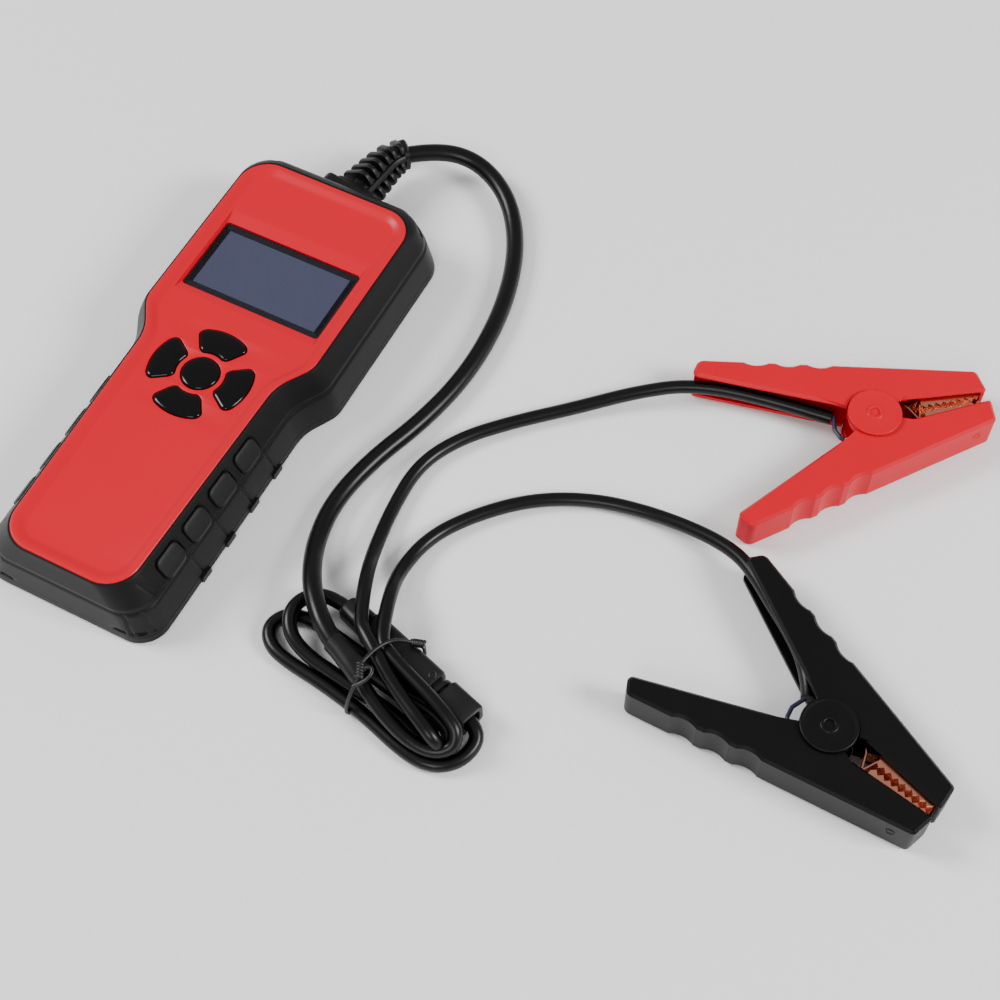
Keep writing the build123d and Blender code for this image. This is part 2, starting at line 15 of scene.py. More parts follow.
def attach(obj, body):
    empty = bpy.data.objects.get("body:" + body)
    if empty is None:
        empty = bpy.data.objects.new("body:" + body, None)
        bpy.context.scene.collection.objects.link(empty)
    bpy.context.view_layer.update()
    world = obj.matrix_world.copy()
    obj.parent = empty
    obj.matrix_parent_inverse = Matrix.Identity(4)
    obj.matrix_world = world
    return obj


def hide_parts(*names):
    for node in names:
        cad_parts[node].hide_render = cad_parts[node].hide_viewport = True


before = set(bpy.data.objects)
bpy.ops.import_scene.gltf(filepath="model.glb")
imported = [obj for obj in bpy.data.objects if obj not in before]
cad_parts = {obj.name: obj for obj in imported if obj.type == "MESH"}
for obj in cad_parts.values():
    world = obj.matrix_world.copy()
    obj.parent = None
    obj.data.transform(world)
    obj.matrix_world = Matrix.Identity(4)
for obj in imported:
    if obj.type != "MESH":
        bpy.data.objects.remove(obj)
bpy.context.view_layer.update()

log = logging.getLogger("battery_tester")

MM = 0.001
Point2 = tuple[float, float]
Point3 = tuple[float, float, float]
Ring = list[bmesh.types.BMVert]


# ---- colours and nodes ----------------------------------------------------------------------
def linear(hex_colour: str) -> tuple[float, float, float, float]:
    """Turn an sRGB hex colour into linear RGBA.

    Args:
        hex_colour: six hex digits with a leading hash.

    Returns:
        Red, green, blue and an alpha of one.
    """
    parts = [int(hex_colour[i:i + 2], 16) / 255 for i in (1, 3, 5)]
    rgb = [c / 12.92 if c <= 0.04045 else ((c + 0.055) / 1.055) ** 2.4 for c in parts]
    return rgb[0], rgb[1], rgb[2], 1.0


def add_node(
    tree: bpy.types.NodeTree,
    kind: str,
    settings: dict[str, object] | None = None,
    values: dict[str | int, object] | None = None,
    links: dict[str | int, bpy.types.NodeSocket] | None = None,
) -> bpy.types.Node:
    """Add a node with its settings and links.

    Args:
        tree: the material's node tree.
        kind: Blender's name for the node.
        settings: attributes of the node.
        values: constants for its input sockets.
        links: sockets that feed its inputs.

    Returns:
        The new node.
    """
    node = tree.nodes.new(kind)
    for name, value in (settings or {}).items():
        setattr(node, name, value)
    for name, value in (values or {}).items():
        node.inputs[name].default_value = value
    for name, source in (links or {}).items():
        tree.links.new(source, node.inputs[name])
    return node


# ---- finishes -------------------------------------------------------------------------------
@dataclass(frozen=True)
class Finish:
    """A surface: colour with a slight drift, a roughness range and a fine relief.

    The drift and the relief are noise at real sizes, so they keep their scale on every piece.
    """

    slot: str
    colour: str
    drift: str
    roughness: float = 0.35
    spread: float = 0.06
    metallic: float = 0.0
    ior: float = 1.5
    coat: float = 0.0
    coat_roughness: float = 0.05
    sheen: float = 0.0
    drift_mm: float = 25.0
    grain_mm: float = 0.6
    relief_mm: float = 0.02

    def material(self) -> bpy.types.Material:
        """Material of this finish, made once and shared by its pieces."""
        name = f"{self.slot}_{type(self).__name__}"
        if name in bpy.data.materials:
            return bpy.data.materials[name]
        made = bpy.data.materials.new(name)
        made.use_nodes = True
        tree = made.node_tree
        shader = next(n for n in tree.nodes if n.type == "BSDF_PRINCIPLED")
        constants = {
            "Metallic": self.metallic, "IOR": self.ior, "Coat Weight": self.coat,
            "Coat Roughness": self.coat_roughness, "Sheen Weight": self.sheen,
        }
        for socket, value in constants.items():
            shader.inputs[socket].default_value = value
        place = add_node(tree, "ShaderNodeTexCoord").outputs["Object"]
        self.paint(tree, shader, place)
        made.diffuse_color = linear(self.colour)
        return made

    def paint(self, tree: bpy.types.NodeTree, shader: bpy.types.Node,
              place: bpy.types.NodeSocket) -> None:
        """Link colour drift, roughness range and relief to the shader.

        Args:
            tree: the material's node tree.
            shader: its surface shader.
            place: position on the piece, in metres.
        """
        cloud = add_node(tree, "ShaderNodeTexNoise",
                         values={"Scale": 1 / (self.drift_mm * MM), "Detail": 3.0},
                         links={"Vector": place})
        tone = add_node(tree, "ShaderNodeMix", {"data_type": "RGBA"},
                        {6: linear(self.colour), 7: linear(self.drift)}, {0: cloud.outputs["Fac"]})
        tree.links.new(tone.outputs[2], shader.inputs["Base Color"])
        grain = add_node(tree, "ShaderNodeTexNoise",
                         values={"Scale": 1 / (self.grain_mm * MM), "Detail": 2.0},
                         links={"Vector": place})
        gloss = add_node(tree, "ShaderNodeMapRange",
                         values={3: self.roughness - self.spread, 4: self.roughness + self.spread},
                         links={0: cloud.outputs["Fac"]})
        tree.links.new(gloss.outputs[0], shader.inputs["Roughness"])
        relief = add_node(tree, "ShaderNodeBump", values={"Strength": 1.0, "Distance": self.relief_mm * MM},
                          links={"Height": grain.outputs["Fac"]})
        tree.links.new(relief.outputs[0], shader.inputs["Normal"])


@dataclass(frozen=True)
class SparkErodedAbs(Finish):
    """ABS moulded against a spark-eroded tool: an even, fine satin grain that greys in the light."""


@dataclass(frozen=True)
class PolishedAbs(Finish):
    """ABS moulded against a polished tool: saturated colour under a clear gloss, very slight waves."""


@dataclass(frozen=True)
class SoftElastomer(Finish):
    """Overmoulded elastomer: dull, fine-grained and a touch paler at grazing angles."""


@dataclass(frozen=True)
class CoatedKeycap(Finish):
    """Hard-coated keycap: nearly black and mirror smooth, so it shows only thin highlights."""


@dataclass(frozen=True)
class PvcJacket(Finish):
    """Extruded PVC jacket: black, sleek, with faint marks along its length from the die."""


@dataclass(frozen=True)
class Polypropylene(Finish):
    """Moulded polypropylene: waxy gloss with soft waves where thick sections sank."""


@dataclass(frozen=True)
class PlatedMetal(Finish):
    """Bright plating over stamped steel: metallic, with rolling marks and tarnish clouds."""


@dataclass(frozen=True)
class MouldedPart(Finish):
    """Small electronic part with a plain moulded, fired or etched body."""


@dataclass(frozen=True)
class AcrylicWindow(Finish):
    """Clear cast acrylic: lets the display through and keeps a thin reflection."""

    opacity: float = 0.1

    def paint(self, tree: bpy.types.NodeTree, shader: bpy.types.Node,
              place: bpy.types.NodeSocket) -> None:
        """Clear sheet: the usual relief, with low opacity.

        Args:
            tree: the material's node tree.
            shader: its surface shader.
            place: position on the piece, in metres.
        """
        super().paint(tree, shader, place)
        shader.inputs["Alpha"].default_value = self.opacity


@dataclass(frozen=True)
class DotMatrixCell(Finish):
    """Switched-off display cell: slate blue-grey with its pixel grid just visible."""

    dot_mm: float = 0.42

    def paint(self, tree: bpy.types.NodeTree, shader: bpy.types.Node,
              place: bpy.types.NodeSocket) -> None:
        """Grid of dots over a slow drift from violet to blue-grey.

        Args:
            tree: the material's node tree.
            shader: its surface shader.
            place: position on the piece, in metres.
        """
        cloud = add_node(tree, "ShaderNodeTexNoise",
                         values={"Scale": 1 / (self.drift_mm * MM), "Detail": 1.0},
                         links={"Vector": place})
        tone = add_node(tree, "ShaderNodeMix", {"data_type": "RGBA"},
                        {6: linear(self.colour), 7: linear(self.drift)}, {0: cloud.outputs["Fac"]})
        grid = add_node(tree, "ShaderNodeTexBrick", {"offset": 0.0},
                        {"Scale": 1.0, "Mortar Size": 0.04 * self.dot_mm * MM, "Mortar Smooth": 0.5,
                         "Brick Width": self.dot_mm * MM, "Row Height": self.dot_mm * MM,
                         "Mortar": linear("#3D4058")},
                        {"Vector": place, "Color1": tone.outputs[2], "Color2": tone.outputs[2]})
        tree.links.new(grid.outputs["Color"], shader.inputs["Base Color"])
        shader.inputs["Roughness"].default_value = self.roughness


@dataclass(frozen=True)
class SolderMaskBoard(Finish):
    """Etched circuit board under green mask: traces show as slightly raised paler lanes."""

    trace_mm: float = 1.6

    def paint(self, tree: bpy.types.NodeTree, shader: bpy.types.Node,
              place: bpy.types.NodeSocket) -> None:
        """Right-angled lanes of mask over copper.

        Args:
            tree: the material's node tree.
            shader: its surface shader.
            place: position on the piece, in metres.
        """
        lanes = add_node(tree, "ShaderNodeTexBrick", {"offset": 0.37},
                         {"Scale": 1.0, "Mortar Size": 0.12 * self.trace_mm * MM, "Mortar Smooth": 0.2,
                          "Brick Width": 7 * self.trace_mm * MM, "Row Height": self.trace_mm * MM,
                          "Color1": linear(self.colour), "Color2": linear(self.colour),
                          "Mortar": linear(self.drift)}, {"Vector": place})
        tree.links.new(lanes.outputs["Color"], shader.inputs["Base Color"])
        lift = add_node(tree, "ShaderNodeBump", values={"Strength": 1.0, "Distance": 0.03 * MM},
                        links={"Height": lanes.outputs["Fac"]})
        tree.links.new(lift.outputs[0], shader.inputs["Normal"])
        shader.inputs["Roughness"].default_value = self.roughness


CASE_BLACK = SparkErodedAbs("case_black", "#09090B", "#0D0D0F", 0.42, 0.05, ior=1.3, grain_mm=0.35,
                            relief_mm=0.02)
PANEL_RED = PolishedAbs("panel_red", "#C8001F", "#CC0022", 0.34, 0.03, ior=1.34,
                        drift_mm=60, grain_mm=9, relief_mm=0.02)
GRIP_RUBBER = SoftElastomer("grip_rubber", "#08080A", "#0C0C0E", 0.5, 0.05, ior=1.38, grain_mm=0.3,
                            relief_mm=0.025)
KEY_BLACK = CoatedKeycap("key_black", "#020203", "#040405", 0.12, 0.03, ior=1.36, grain_mm=6, relief_mm=0.01)
WINDOW_CLEAR = AcrylicWindow("window_clear", "#0A0A10", "#0C0C12", 0.14, 0.02, ior=1.35, grain_mm=12,
                             relief_mm=0.005)
MASK_BLACK = MouldedPart("mask_black", "#0B0A14", "#0E0C18", 0.45, grain_mm=0.5, relief_mm=0.005)
LCD_CELL = DotMatrixCell("lcd_cell", "#474963", "#4C4F68", 0.35, drift_mm=40)
DIFFUSER = MouldedPart("diffuser_white", "#E9E8E2", "#DEDDD6", 0.5)
BOARD = SolderMaskBoard("board_green", "#0F4A2A", "#2A6E43", 0.35)
GOLD = PlatedMetal("gold_contact", "#D9B45F", "#C9A24E", 0.25, metallic=1.0, drift_mm=3)
SILICONE = SoftElastomer("silicone_grey", "#8A8A8E", "#7E7E83", 0.6, sheen=0.2)
CHIP = MouldedPart("chip_black", "#19191A", "#222223", 0.55, grain_mm=0.2, relief_mm=0.02)
RELAY = MouldedPart("relay_blue", "#1E4E8C", "#23558F", 0.3)
CERAMIC = MouldedPart("ceramic_white", "#E2DFD6", "#D3CFC4", 0.75, grain_mm=0.3, relief_mm=0.05)
CAN = PlatedMetal("can_aluminium", "#BFC1C4", "#AEB0B4", 0.3, metallic=1.0, drift_mm=5)
TERMINAL = MouldedPart("terminal_green", "#1E7A3C", "#23823F", 0.4)
SCREW = PlatedMetal("screw_steel", "#A9ABAE", "#8F9195", 0.32, metallic=1.0, drift_mm=2, grain_mm=0.2)
WIRE = PvcJacket("wire_insulation", "#23223A", "#2C2B48", 0.3, 0.04, grain_mm=1.5, relief_mm=0.01)
BOOT = SoftElastomer("boot_black", "#030304", "#060607", 0.42, 0.05, ior=1.4, grain_mm=0.4, relief_mm=0.03)
CABLE = PvcJacket("cable_black", "#010102", "#030304", 0.33, 0.05, ior=1.38,
                  drift_mm=14, grain_mm=3.0, relief_mm=0.03)
MOULDING = SparkErodedAbs("moulding_grey", "#070709", "#0B0B0D", 0.42, 0.05, ior=1.42, grain_mm=0.4,
                          relief_mm=0.03)
TIE = PvcJacket("tie_black", "#060607", "#0A0A0B", 0.4, 0.06, grain_mm=0.8, relief_mm=0.03)
CLAMP_FINISH = {
    "red": Polypropylene("clamp_red", "#C6001E", "#CB0021", 0.4, 0.04, ior=1.27,
                         drift_mm=30, grain_mm=5, relief_mm=0.03),
    "black": Polypropylene("clamp_black", "#030304", "#060607", 0.4, 0.05, ior=1.3,
                           drift_mm=22, grain_mm=1.2, relief_mm=0.025),
}
COPPER = PlatedMetal("copper", "#F4AE94", "#DE8468", 0.26, 0.08, metallic=1.0, drift_mm=3.5, grain_mm=0.7)
SPRING = PlatedMetal("spring_steel", "#C4C6C9", "#A8AAAE", 0.2, metallic=1.0, drift_mm=3)

HIDDEN_FINISHES = {
    "lcd_window": WINDOW_CLEAR, "lcd_mask": MASK_BLACK, "lcd_glass": LCD_CELL, "lcd_backlight": DIFFUSER,
    "lcd_board": BOARD, "header_pins": GOLD, "main_board": BOARD, "keypad_mat": SILICONE,
    "key_contacts": GOLD, "microcontroller": CHIP, "power_relay": RELAY, "buzzer": CHIP,
    "smoothing_capacitor": CAN, "load_resistors": CERAMIC, "terminal_block": TERMINAL,
    "inner_wires": WIRE, "case_screws": SCREW, "board_screws": SCREW, "rear_cover": CASE_BLACK,
}


# ---- mesh making ----------------------------------------------------------------------------
class MeshMaker:
    """Collects rings of points, in millimetres, into one closed mesh."""

    def __init__(self) -> None:
        """Start with an empty mesh."""
        self.bm = bmesh.new()

    def ring(self, points: Iterable[Point3]) -> Ring:
        """Add points and return their vertices."""
        return [self.bm.verts.new(Vector(p) * MM) for p in points]

    def join(self, low: Ring, high: Ring) -> None:
        """Quads between two closed rings with the same number of points."""
        count = len(low)
        for i in range(count):
            j = (i + 1) % count
            self.bm.faces.new((low[i], low[j], high[j], high[i]))

    def skin(self, loops: Iterable[Iterable[Point3]], cap_start: bool = True,
             cap_end: bool = True) -> list[Ring]:
        """Skin over a stack of loops, closed at the ends where asked.

        Args:
            loops: closed loops of points with equal counts.
            cap_start: whether to fill the first loop.
            cap_end: whether to fill the last loop.

        Returns:
            The rings of vertices.
        """
        rings = [self.ring(points) for points in loops]
        for low, high in zip(rings, rings[1:]):
            self.join(low, high)
        if cap_start:
            self.bm.faces.new(rings[0])
        if cap_end:
            self.bm.faces.new(rings[-1])
        return rings

    def fill(self, outer: Ring, holes: Sequence[Ring]) -> None:
        """Flat filling between one outer ring and the rings of its holes."""
        rings = [outer, *holes]
        flat = [v for ring in rings for v in ring]
        for a, b, c in tessellate_polygon([[Vector((v.co.x, v.co.y, 0)) for v in ring] for ring in rings]):
            self.bm.faces.new((flat[a], flat[b], flat[c]))

    def piece(self, name: str, finish: Finish, sharp_deg: float = 40.0) -> bpy.types.Object:
        """Turn the collected mesh into an object with its finish.

        Args:
            name: name of the piece.
            finish: its surface.
            sharp_deg: edges that turn more than this stay crisp.

        Returns:
            The new object.
        """
        bmesh.ops.recalc_face_normals(self.bm, faces=self.bm.faces)
        for face in self.bm.faces:
            face.smooth = True
        for edge in self.bm.edges:
            if len(edge.link_faces) == 2:
                edge.smooth = edge.calc_face_angle() < math.radians(sharp_deg)
        mesh = bpy.data.meshes.new(name)
        self.bm.to_mesh(mesh)
        self.bm.free()
        made = bpy.data.objects.new(name, mesh)
        bpy.context.scene.collection.objects.link(made)
        dress(made, finish)
        return made


def dress(target: bpy.types.Object, finish: Finish) -> None:
    """Give every material slot of an object one finish."""
    material = finish.material()
    if not target.material_slots:
        target.data.materials.append(material)
    for holder in target.material_slots:
        holder.material = material


def enlist(target: bpy.types.Object, finish: Finish, body: str = "root",
           stands_for: Sequence[str] = ()) -> None:
    """Tie a new piece to its body, hide the nodes that it stands for and log its finish.

    Args:
        target: the piece.
        finish: its surface, whose slot name goes to the log.
        body: the body that it rides on.
        stands_for: nodes that it replaces.
    """
    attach(target, body)
    if stands_for:
        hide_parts(*stands_for)
    log.info("%s on %s in %s", target.name, body, finish.slot)


def rounded_polygon(corners: Sequence[tuple[float, float, float]], arc_steps: int,
                    runs: Sequence[Callable[[Point2, Point2], list[Point2]]]) -> list[Point2]:
    """Closed outline with an arc at each corner and extra points along each run.

    Args:
        corners: x, y and radius of each corner, in order.
        arc_steps: segments in each arc.
        runs: for each corner, the maker of points on the run that leaves it.

    Returns:
        The outline's points.
    """
    count = len(corners)
    arcs = []
    for i, (x, y, r) in enumerate(corners):
        here = Vector((x, y))
        back = (Vector(corners[i - 1][:2]) - here).normalized()
        ahead = (Vector(corners[(i + 1) % count][:2]) - here).normalized()
        half = back.angle(ahead) / 2
        centre = here + (back + ahead).normalized() * (r / math.sin(half))
        start = here + back * (r / math.tan(half)) - centre
        sweep = start.angle_signed(here + ahead * (r / math.tan(half)) - centre)
        turn = [-sweep * k / arc_steps for k in range(arc_steps + 1)]
        arcs.append([(centre.x + start.x * math.cos(t) - start.y * math.sin(t),
                      centre.y + start.x * math.sin(t) + start.y * math.cos(t)) for t in turn])
    points: list[Point2] = []
    for i, arc in enumerate(arcs):
        points += arc + runs[i](arc[-1], arcs[(i + 1) % count][0])
    return points


def even_run(parts: int) -> Callable[[Point2, Point2], list[Point2]]:
    """Maker of evenly spaced points between the ends of a run."""
    def make(a: Point2, b: Point2) -> list[Point2]:
        """Points between a and b, without a and b."""
        return [(a[0] + (b[0] - a[0]) * k / parts, a[1] + (b[1] - a[1]) * k / parts) for k in range(1, parts)]
    return make


def rounded_rect(width: float, depth: float, r: float, arc_steps: int = 6, parts: int = 6) -> list[Point2]:
    """Rounded rectangle about the origin."""
    w, d = width / 2, depth / 2
    corners = [(w, -d, r), (w, d, r), (-w, d, r), (-w, -d, r)]
    return rounded_polygon(corners, arc_steps, [even_run(parts)] * 4)


def smooth(t: float) -> float:
    """Ease from 0 to 1 with level ends."""
    t = min(max(t, 0.0), 1.0)
    return t * t * (3 - 2 * t)


# ---- case -----------------------------------------------------------------------------------
@dataclass(frozen=True)
class Level:
    """Half widths and ends of the case outline at one height."""

    z: float
    head: float
    waist: float
    foot: float
    bottom: float
    top: float
    head_r: float
    foot_r: float


@dataclass
class CaseShape:
    """Sizes of the waisted case, in millimetres."""

    levels: tuple[Level, ...] = (
        Level(4.0, 44.1, 36.9, 36.5, -101.0, 101.1, 13.0, 11.0),
        Level(15.5, 42.0, 34.6, 33.4, -99.6, 100.2, 13.5, 12.0),
        Level(24.4, 38.2, 29.9, 27.4, -97.6, 98.6, 13.0, 12.5),
        Level(26.4, 37.0, 28.7, 26.1, -97.25, 94.6, 12.6, 12.8),
        Level(27.0, 36.4, 28.1, 25.5, -96.65, 93.75, 12.0, 12.5),
    )
    waist_low: float = 1.6
    waist_high: float = 14.6
    waist_r: float = 20.0
    shoulder_r: float = 12.0
    pad_first: float = -74.2
    pad_pitch: float = 16.3
    pad_length: float = 11.8
    pad_count: int = 4
    crease: float = 1.3

    def raw(self, z: float) -> list[float]:
        """Outline numbers at a height, straight between the levels."""
        for low, high in zip(self.levels, self.levels[1:]):
            if z <= high.z:
                t = max(0.0, (z - low.z) / (high.z - low.z))
                pairs = zip(list(vars(low).values())[1:], list(vars(high).values())[1:])
                return [a + t * (b - a) for a, b in pairs]
        return list(vars(self.levels[-1]).values())[1:]

    def level(self, z: float, soften: float = 0.0) -> Level:
        """Outline at a height, with the creases between levels rounded over."""
        offsets = [soften * k / 4 for k in range(-4, 5)]
        rows = [self.raw(min(max(z + o, 4.0), 27.0)) for o in offsets]
        return Level(z, *[sum(column) / len(rows) for column in zip(*rows)])

    def pads(self) -> list[float]:
        """Middle of each grip pad along the flank."""
        return [self.pad_first + i * self.pad_pitch for i in range(self.pad_count)]

    def flank_columns(self) -> list[float]:
        """Places along the flank where the outline has a point: close together at the pads."""
        start, end, step = -84.0, -6.0, 0.5
        return [start + step * k for k in range(int((end - start) / step) + 1)]

    def outline(self, level: Level, inset: float = 0.0) -> list[Point2]:
        """Outline of one level, moved in by inset.

        Args:
            level: the outline's numbers.
            inset: how far in from it.

        Returns:
            Points with the same count and order at every level.
        """
        head, waist, foot = level.head - inset, level.waist - inset, level.foot - inset
        low, high = level.bottom + inset, level.top - inset
        head_r, foot_r = max(level.head_r - inset, 3.0), max(level.foot_r - inset, 3.0)
        right = [
            (foot, low, foot_r), (waist, self.waist_low, self.waist_r),
            (head, self.waist_high, self.shoulder_r), (head, high, head_r),
        ]
        left = [(-x, y, r) for x, y, r in reversed(right)]
        columns = self.flank_columns()

        def flank(a: Point2, b: Point2) -> list[Point2]:
            """Points of a handle flank at the fixed places."""
            rising = b[1] > a[1]
            places = columns if rising else list(reversed(columns))
            return [(a[0] + (b[0] - a[0]) * (y - a[1]) / (b[1] - a[1]), y) for y in places]

        runs = [flank, even_run(4), even_run(30), even_run(34), even_run(30), even_run(4), flank,
                even_run(24)]
        return rounded_polygon(right + left, 32, runs)

    def flank_x(self, y: float, z: float) -> float:
        """Half width of the handle at a place along it."""
        level = self.level(z)
        return level.foot + (level.waist - level.foot) * (y - level.bottom) / (self.waist_low - level.bottom)


@dataclass
class Groove:
    """Line let into the case wall: two ends, a half width and a depth."""

    start: Point3
    end: Point3
    reach: float
    depth: float

    def cut(self, at: Vector) -> float:
        """Depth of the groove at a point of the wall."""
        a, b = Vector(self.start), Vector(self.end)
        along = b - a
        t = min(max((at - a).dot(along) / max(along.length_squared, 1e-9), 0.0), 1.0)
        gap = (at - a - along * t).length
        return self.depth * smooth(1.25 * (1 - gap / self.reach)) if gap < self.reach else 0.0


@dataclass
class CaseShell:
    """Black front case: drafted wall, soft crease, steep shoulder, pad recesses and grooves."""

    shape: CaseShape
    wall: float = 2.2
    seat_z: float = 23.6
    pad_mid: float = 20.0
    pad_half: float = 3.6
    slope: float = 1.2
    recess: float = 0.75
    valley: float = 0.4
    valley_z: float = 15.9
    valley_half: float = 1.5
    pad_corner_r: float = 3.0
    corner_at: Point2 = (22.5, -89.5)
    mm_per_degree: float = 0.2
    slant_span: Point2 = (5.0, 15.0)
    slant_degrees: Point2 = (-28.0, -64.0)
    slant_depth: float = 0.6
    pocket_degrees: Point2 = (-45.0, -80.0)
    pocket_z: float = 5.9
    pocket_half: Point2 = (1.5, 0.5)
    pocket_depth: float = 0.9
    grooves: list[Groove] = field(default_factory=list)

    def __post_init__(self) -> None:
        """Lay out the grooves on both sides."""
        for side in (-1.0, 1.0):
            for y in self.shape.pads():
                x = self.shape.flank_x(y, 9.0) * side
                top = y + 6.4
                upper, lower = (x - side * 1.5, top - 0.5, 16.6), (x + side * 1.2, top + 1.6, 3.0)
                self.grooves.append(Groove(upper, lower, 0.75, 0.55))
            self.grooves.append(Groove((side * 27.3, -88.8, 24.0), (side * 33.2, -86.8, 15.8), 0.9, 0.55))
            self.grooves.append(Groove((side * 29.6, 97.6, 23.6), (side * 32.6, 97.0, 22.6), 1.4, 1.0))
            self.grooves.append(Groove((side * 36.2, 95.4, 21.0), (side * 38.2, 93.6, 19.4), 1.4, 1.0))

    def relief(self, x: float, y: float, z: float) -> float:
        """How far the wall steps in at a point, in millimetres."""
        cut = 0.0
        if -84.0 <= y <= -12.0:
            for c in self.shape.pads():
                dy = abs(y - c) - (self.shape.pad_length / 2 + 0.5 - self.pad_corner_r)
                up = abs(z - self.pad_mid) * self.slope
                ds = up - (self.pad_half * self.slope + 0.5 - self.pad_corner_r)
                outside = math.hypot(max(dy, 0.0), max(ds, 0.0)) + min(max(dy, ds), 0.0) - self.pad_corner_r
                cut = max(cut, self.recess * smooth(0.5 - outside / 0.5))
        at = Vector((x, y, z))
        for groove in self.grooves:
            cut = max(cut, groove.cut(at))
        cut = max(cut, self.valley * smooth(1.0 - abs(z - self.valley_z) / self.valley_half))
        if y < -86.0 and abs(x) > 21.0:
            middle_x, middle_y = self.corner_at
            angle = math.degrees(math.atan2(y - middle_y, abs(x) - middle_x))
            cut = max(cut, self.corner_relief(angle, z))
        return cut

    def corner_relief(self, angle: float, z: float) -> float:
        """Two slanted grooves and two small pockets on a foot corner.

        Args:
            angle: direction round the corner, in degrees.
            z: height.

        Returns:
            How far the wall steps in, in millimetres.
        """
        cut = 0.0
        low, high = self.slant_span
        if low < z < high:
            for middle in self.slant_degrees:
                away = abs(angle - middle + (z - 10.0) * 0.8) * self.mm_per_degree
                cut = max(cut, self.slant_depth * smooth(1.3 * (1.0 - away)))
        half_along, half_high = self.pocket_half
        for middle in self.pocket_degrees:
            along = abs(angle - middle) * self.mm_per_degree - half_along
            away = max(along, abs(z - self.pocket_z) - half_high)
            cut = max(cut, self.pocket_depth * smooth(1.0 - away / 0.5))
        return cut

    def loop(self, z: float) -> list[Point3]:
        """Loop of the outer wall at a height, with its relief."""
        level = self.shape.level(z, self.shape.crease if z < 25.2 else 0.5)
        flat = self.shape.outline(level)
        count = len(flat)
        lean = 0.2 if z < 15.5 else 0.56
        points = []
        for i, (x, y) in enumerate(flat):
            ahead, behind = flat[(i + 1) % count], flat[i - 1]
            out = Vector((ahead[1] - behind[1], behind[0] - ahead[0])).normalized()
            cut = self.relief(x, y, z)
            inward = cut * (1 - lean / 2)
            points.append((x - out.x * inward, y - out.y * inward, z - cut * lean))
        return points

    def inner(self, z: float, inset: float) -> list[Point3]:
        """Plain loop inside the wall."""
        return [(x, y, z) for x, y in self.shape.outline(self.shape.level(z), inset)]

    def build(self) -> bpy.types.Object:
        """Skin of the wall, over the rim, into the panel seat and down the inside."""
        heights = [4.0, 4.4] + [4.9 + 0.5 * k for k in range(22)] + [15.8, 16.05]
        heights += [16.3 + 0.36 * k for k in range(22)] + [24.2, 24.6, 25.0, 25.4, 25.8, 26.1, 26.3, 26.4]
        rim = self.shape.level(27.0)
        loops = [self.loop(z) for z in heights]
        loops.append([(x, y, 26.4) for x, y in self.shape.outline(rim, 0.05)])
        loops.append([(x, y, self.seat_z) for x, y in self.shape.outline(rim, 0.05)])
        loops.append([(x, y, self.seat_z) for x, y in self.shape.outline(rim, 3.0)])
        loops.append([(x, y, self.seat_z - 1.8) for x, y in self.shape.outline(rim, 3.0)])
        loops += [self.inner(21.8, self.wall), self.inner(15.5, self.wall), self.inner(4.0, self.wall)]
        maker = MeshMaker()
        rings = maker.skin(loops, False, False)
        maker.join(rings[-1], rings[0])
        made = maker.piece("front_case_shell", CASE_BLACK)
        enlist(made, CASE_BLACK, "root", ["front_case"])
        return made

    def grip_pads(self, side: float) -> bpy.types.Object:
        """Soft pads of one flank: crowned pillows with rounded corners."""
        maker = MeshMaker()
        normal = Vector((0.83 * side, 0.0, 0.56))
        for c in self.shape.pads():
            loops = []
            for shrink, lift in ((0.0, -0.7), (0.0, 0.1), (0.2, 0.36), (0.6, 0.5), (1.6, 0.56), (2.6, 0.6)):
                plan = rounded_rect(self.shape.pad_length - 2 * shrink,
                                    2 * (self.pad_half * self.slope - shrink),
                                    max(2.6 - shrink, 0.6), 6, 4)
                loop = []
                for dy, ds in plan:
                    y, z = c + dy, self.pad_mid + ds / self.slope
                    base = Vector((self.shape.flank_x(y, z) * side, y, z)) + normal * lift
                    loop.append(tuple(base))
                loops.append(loop)
            maker.skin(loops)
        name = "grip_pads_left" if side < 0 else "grip_pads_right"
        made = maker.piece(f"{name}_soft", GRIP_RUBBER)
        enlist(made, GRIP_RUBBER, "root", [name])
        return made


class KeyShape(Enum):
    """The five keys and the direction of each from the middle; the round one has none."""

    UP = ("key_up", 90.0)
    DOWN = ("key_down", 270.0)
    LEFT = ("key_left", 180.0)
    RIGHT = ("key_right", 0.0)
    OK = ("key_ok", None)


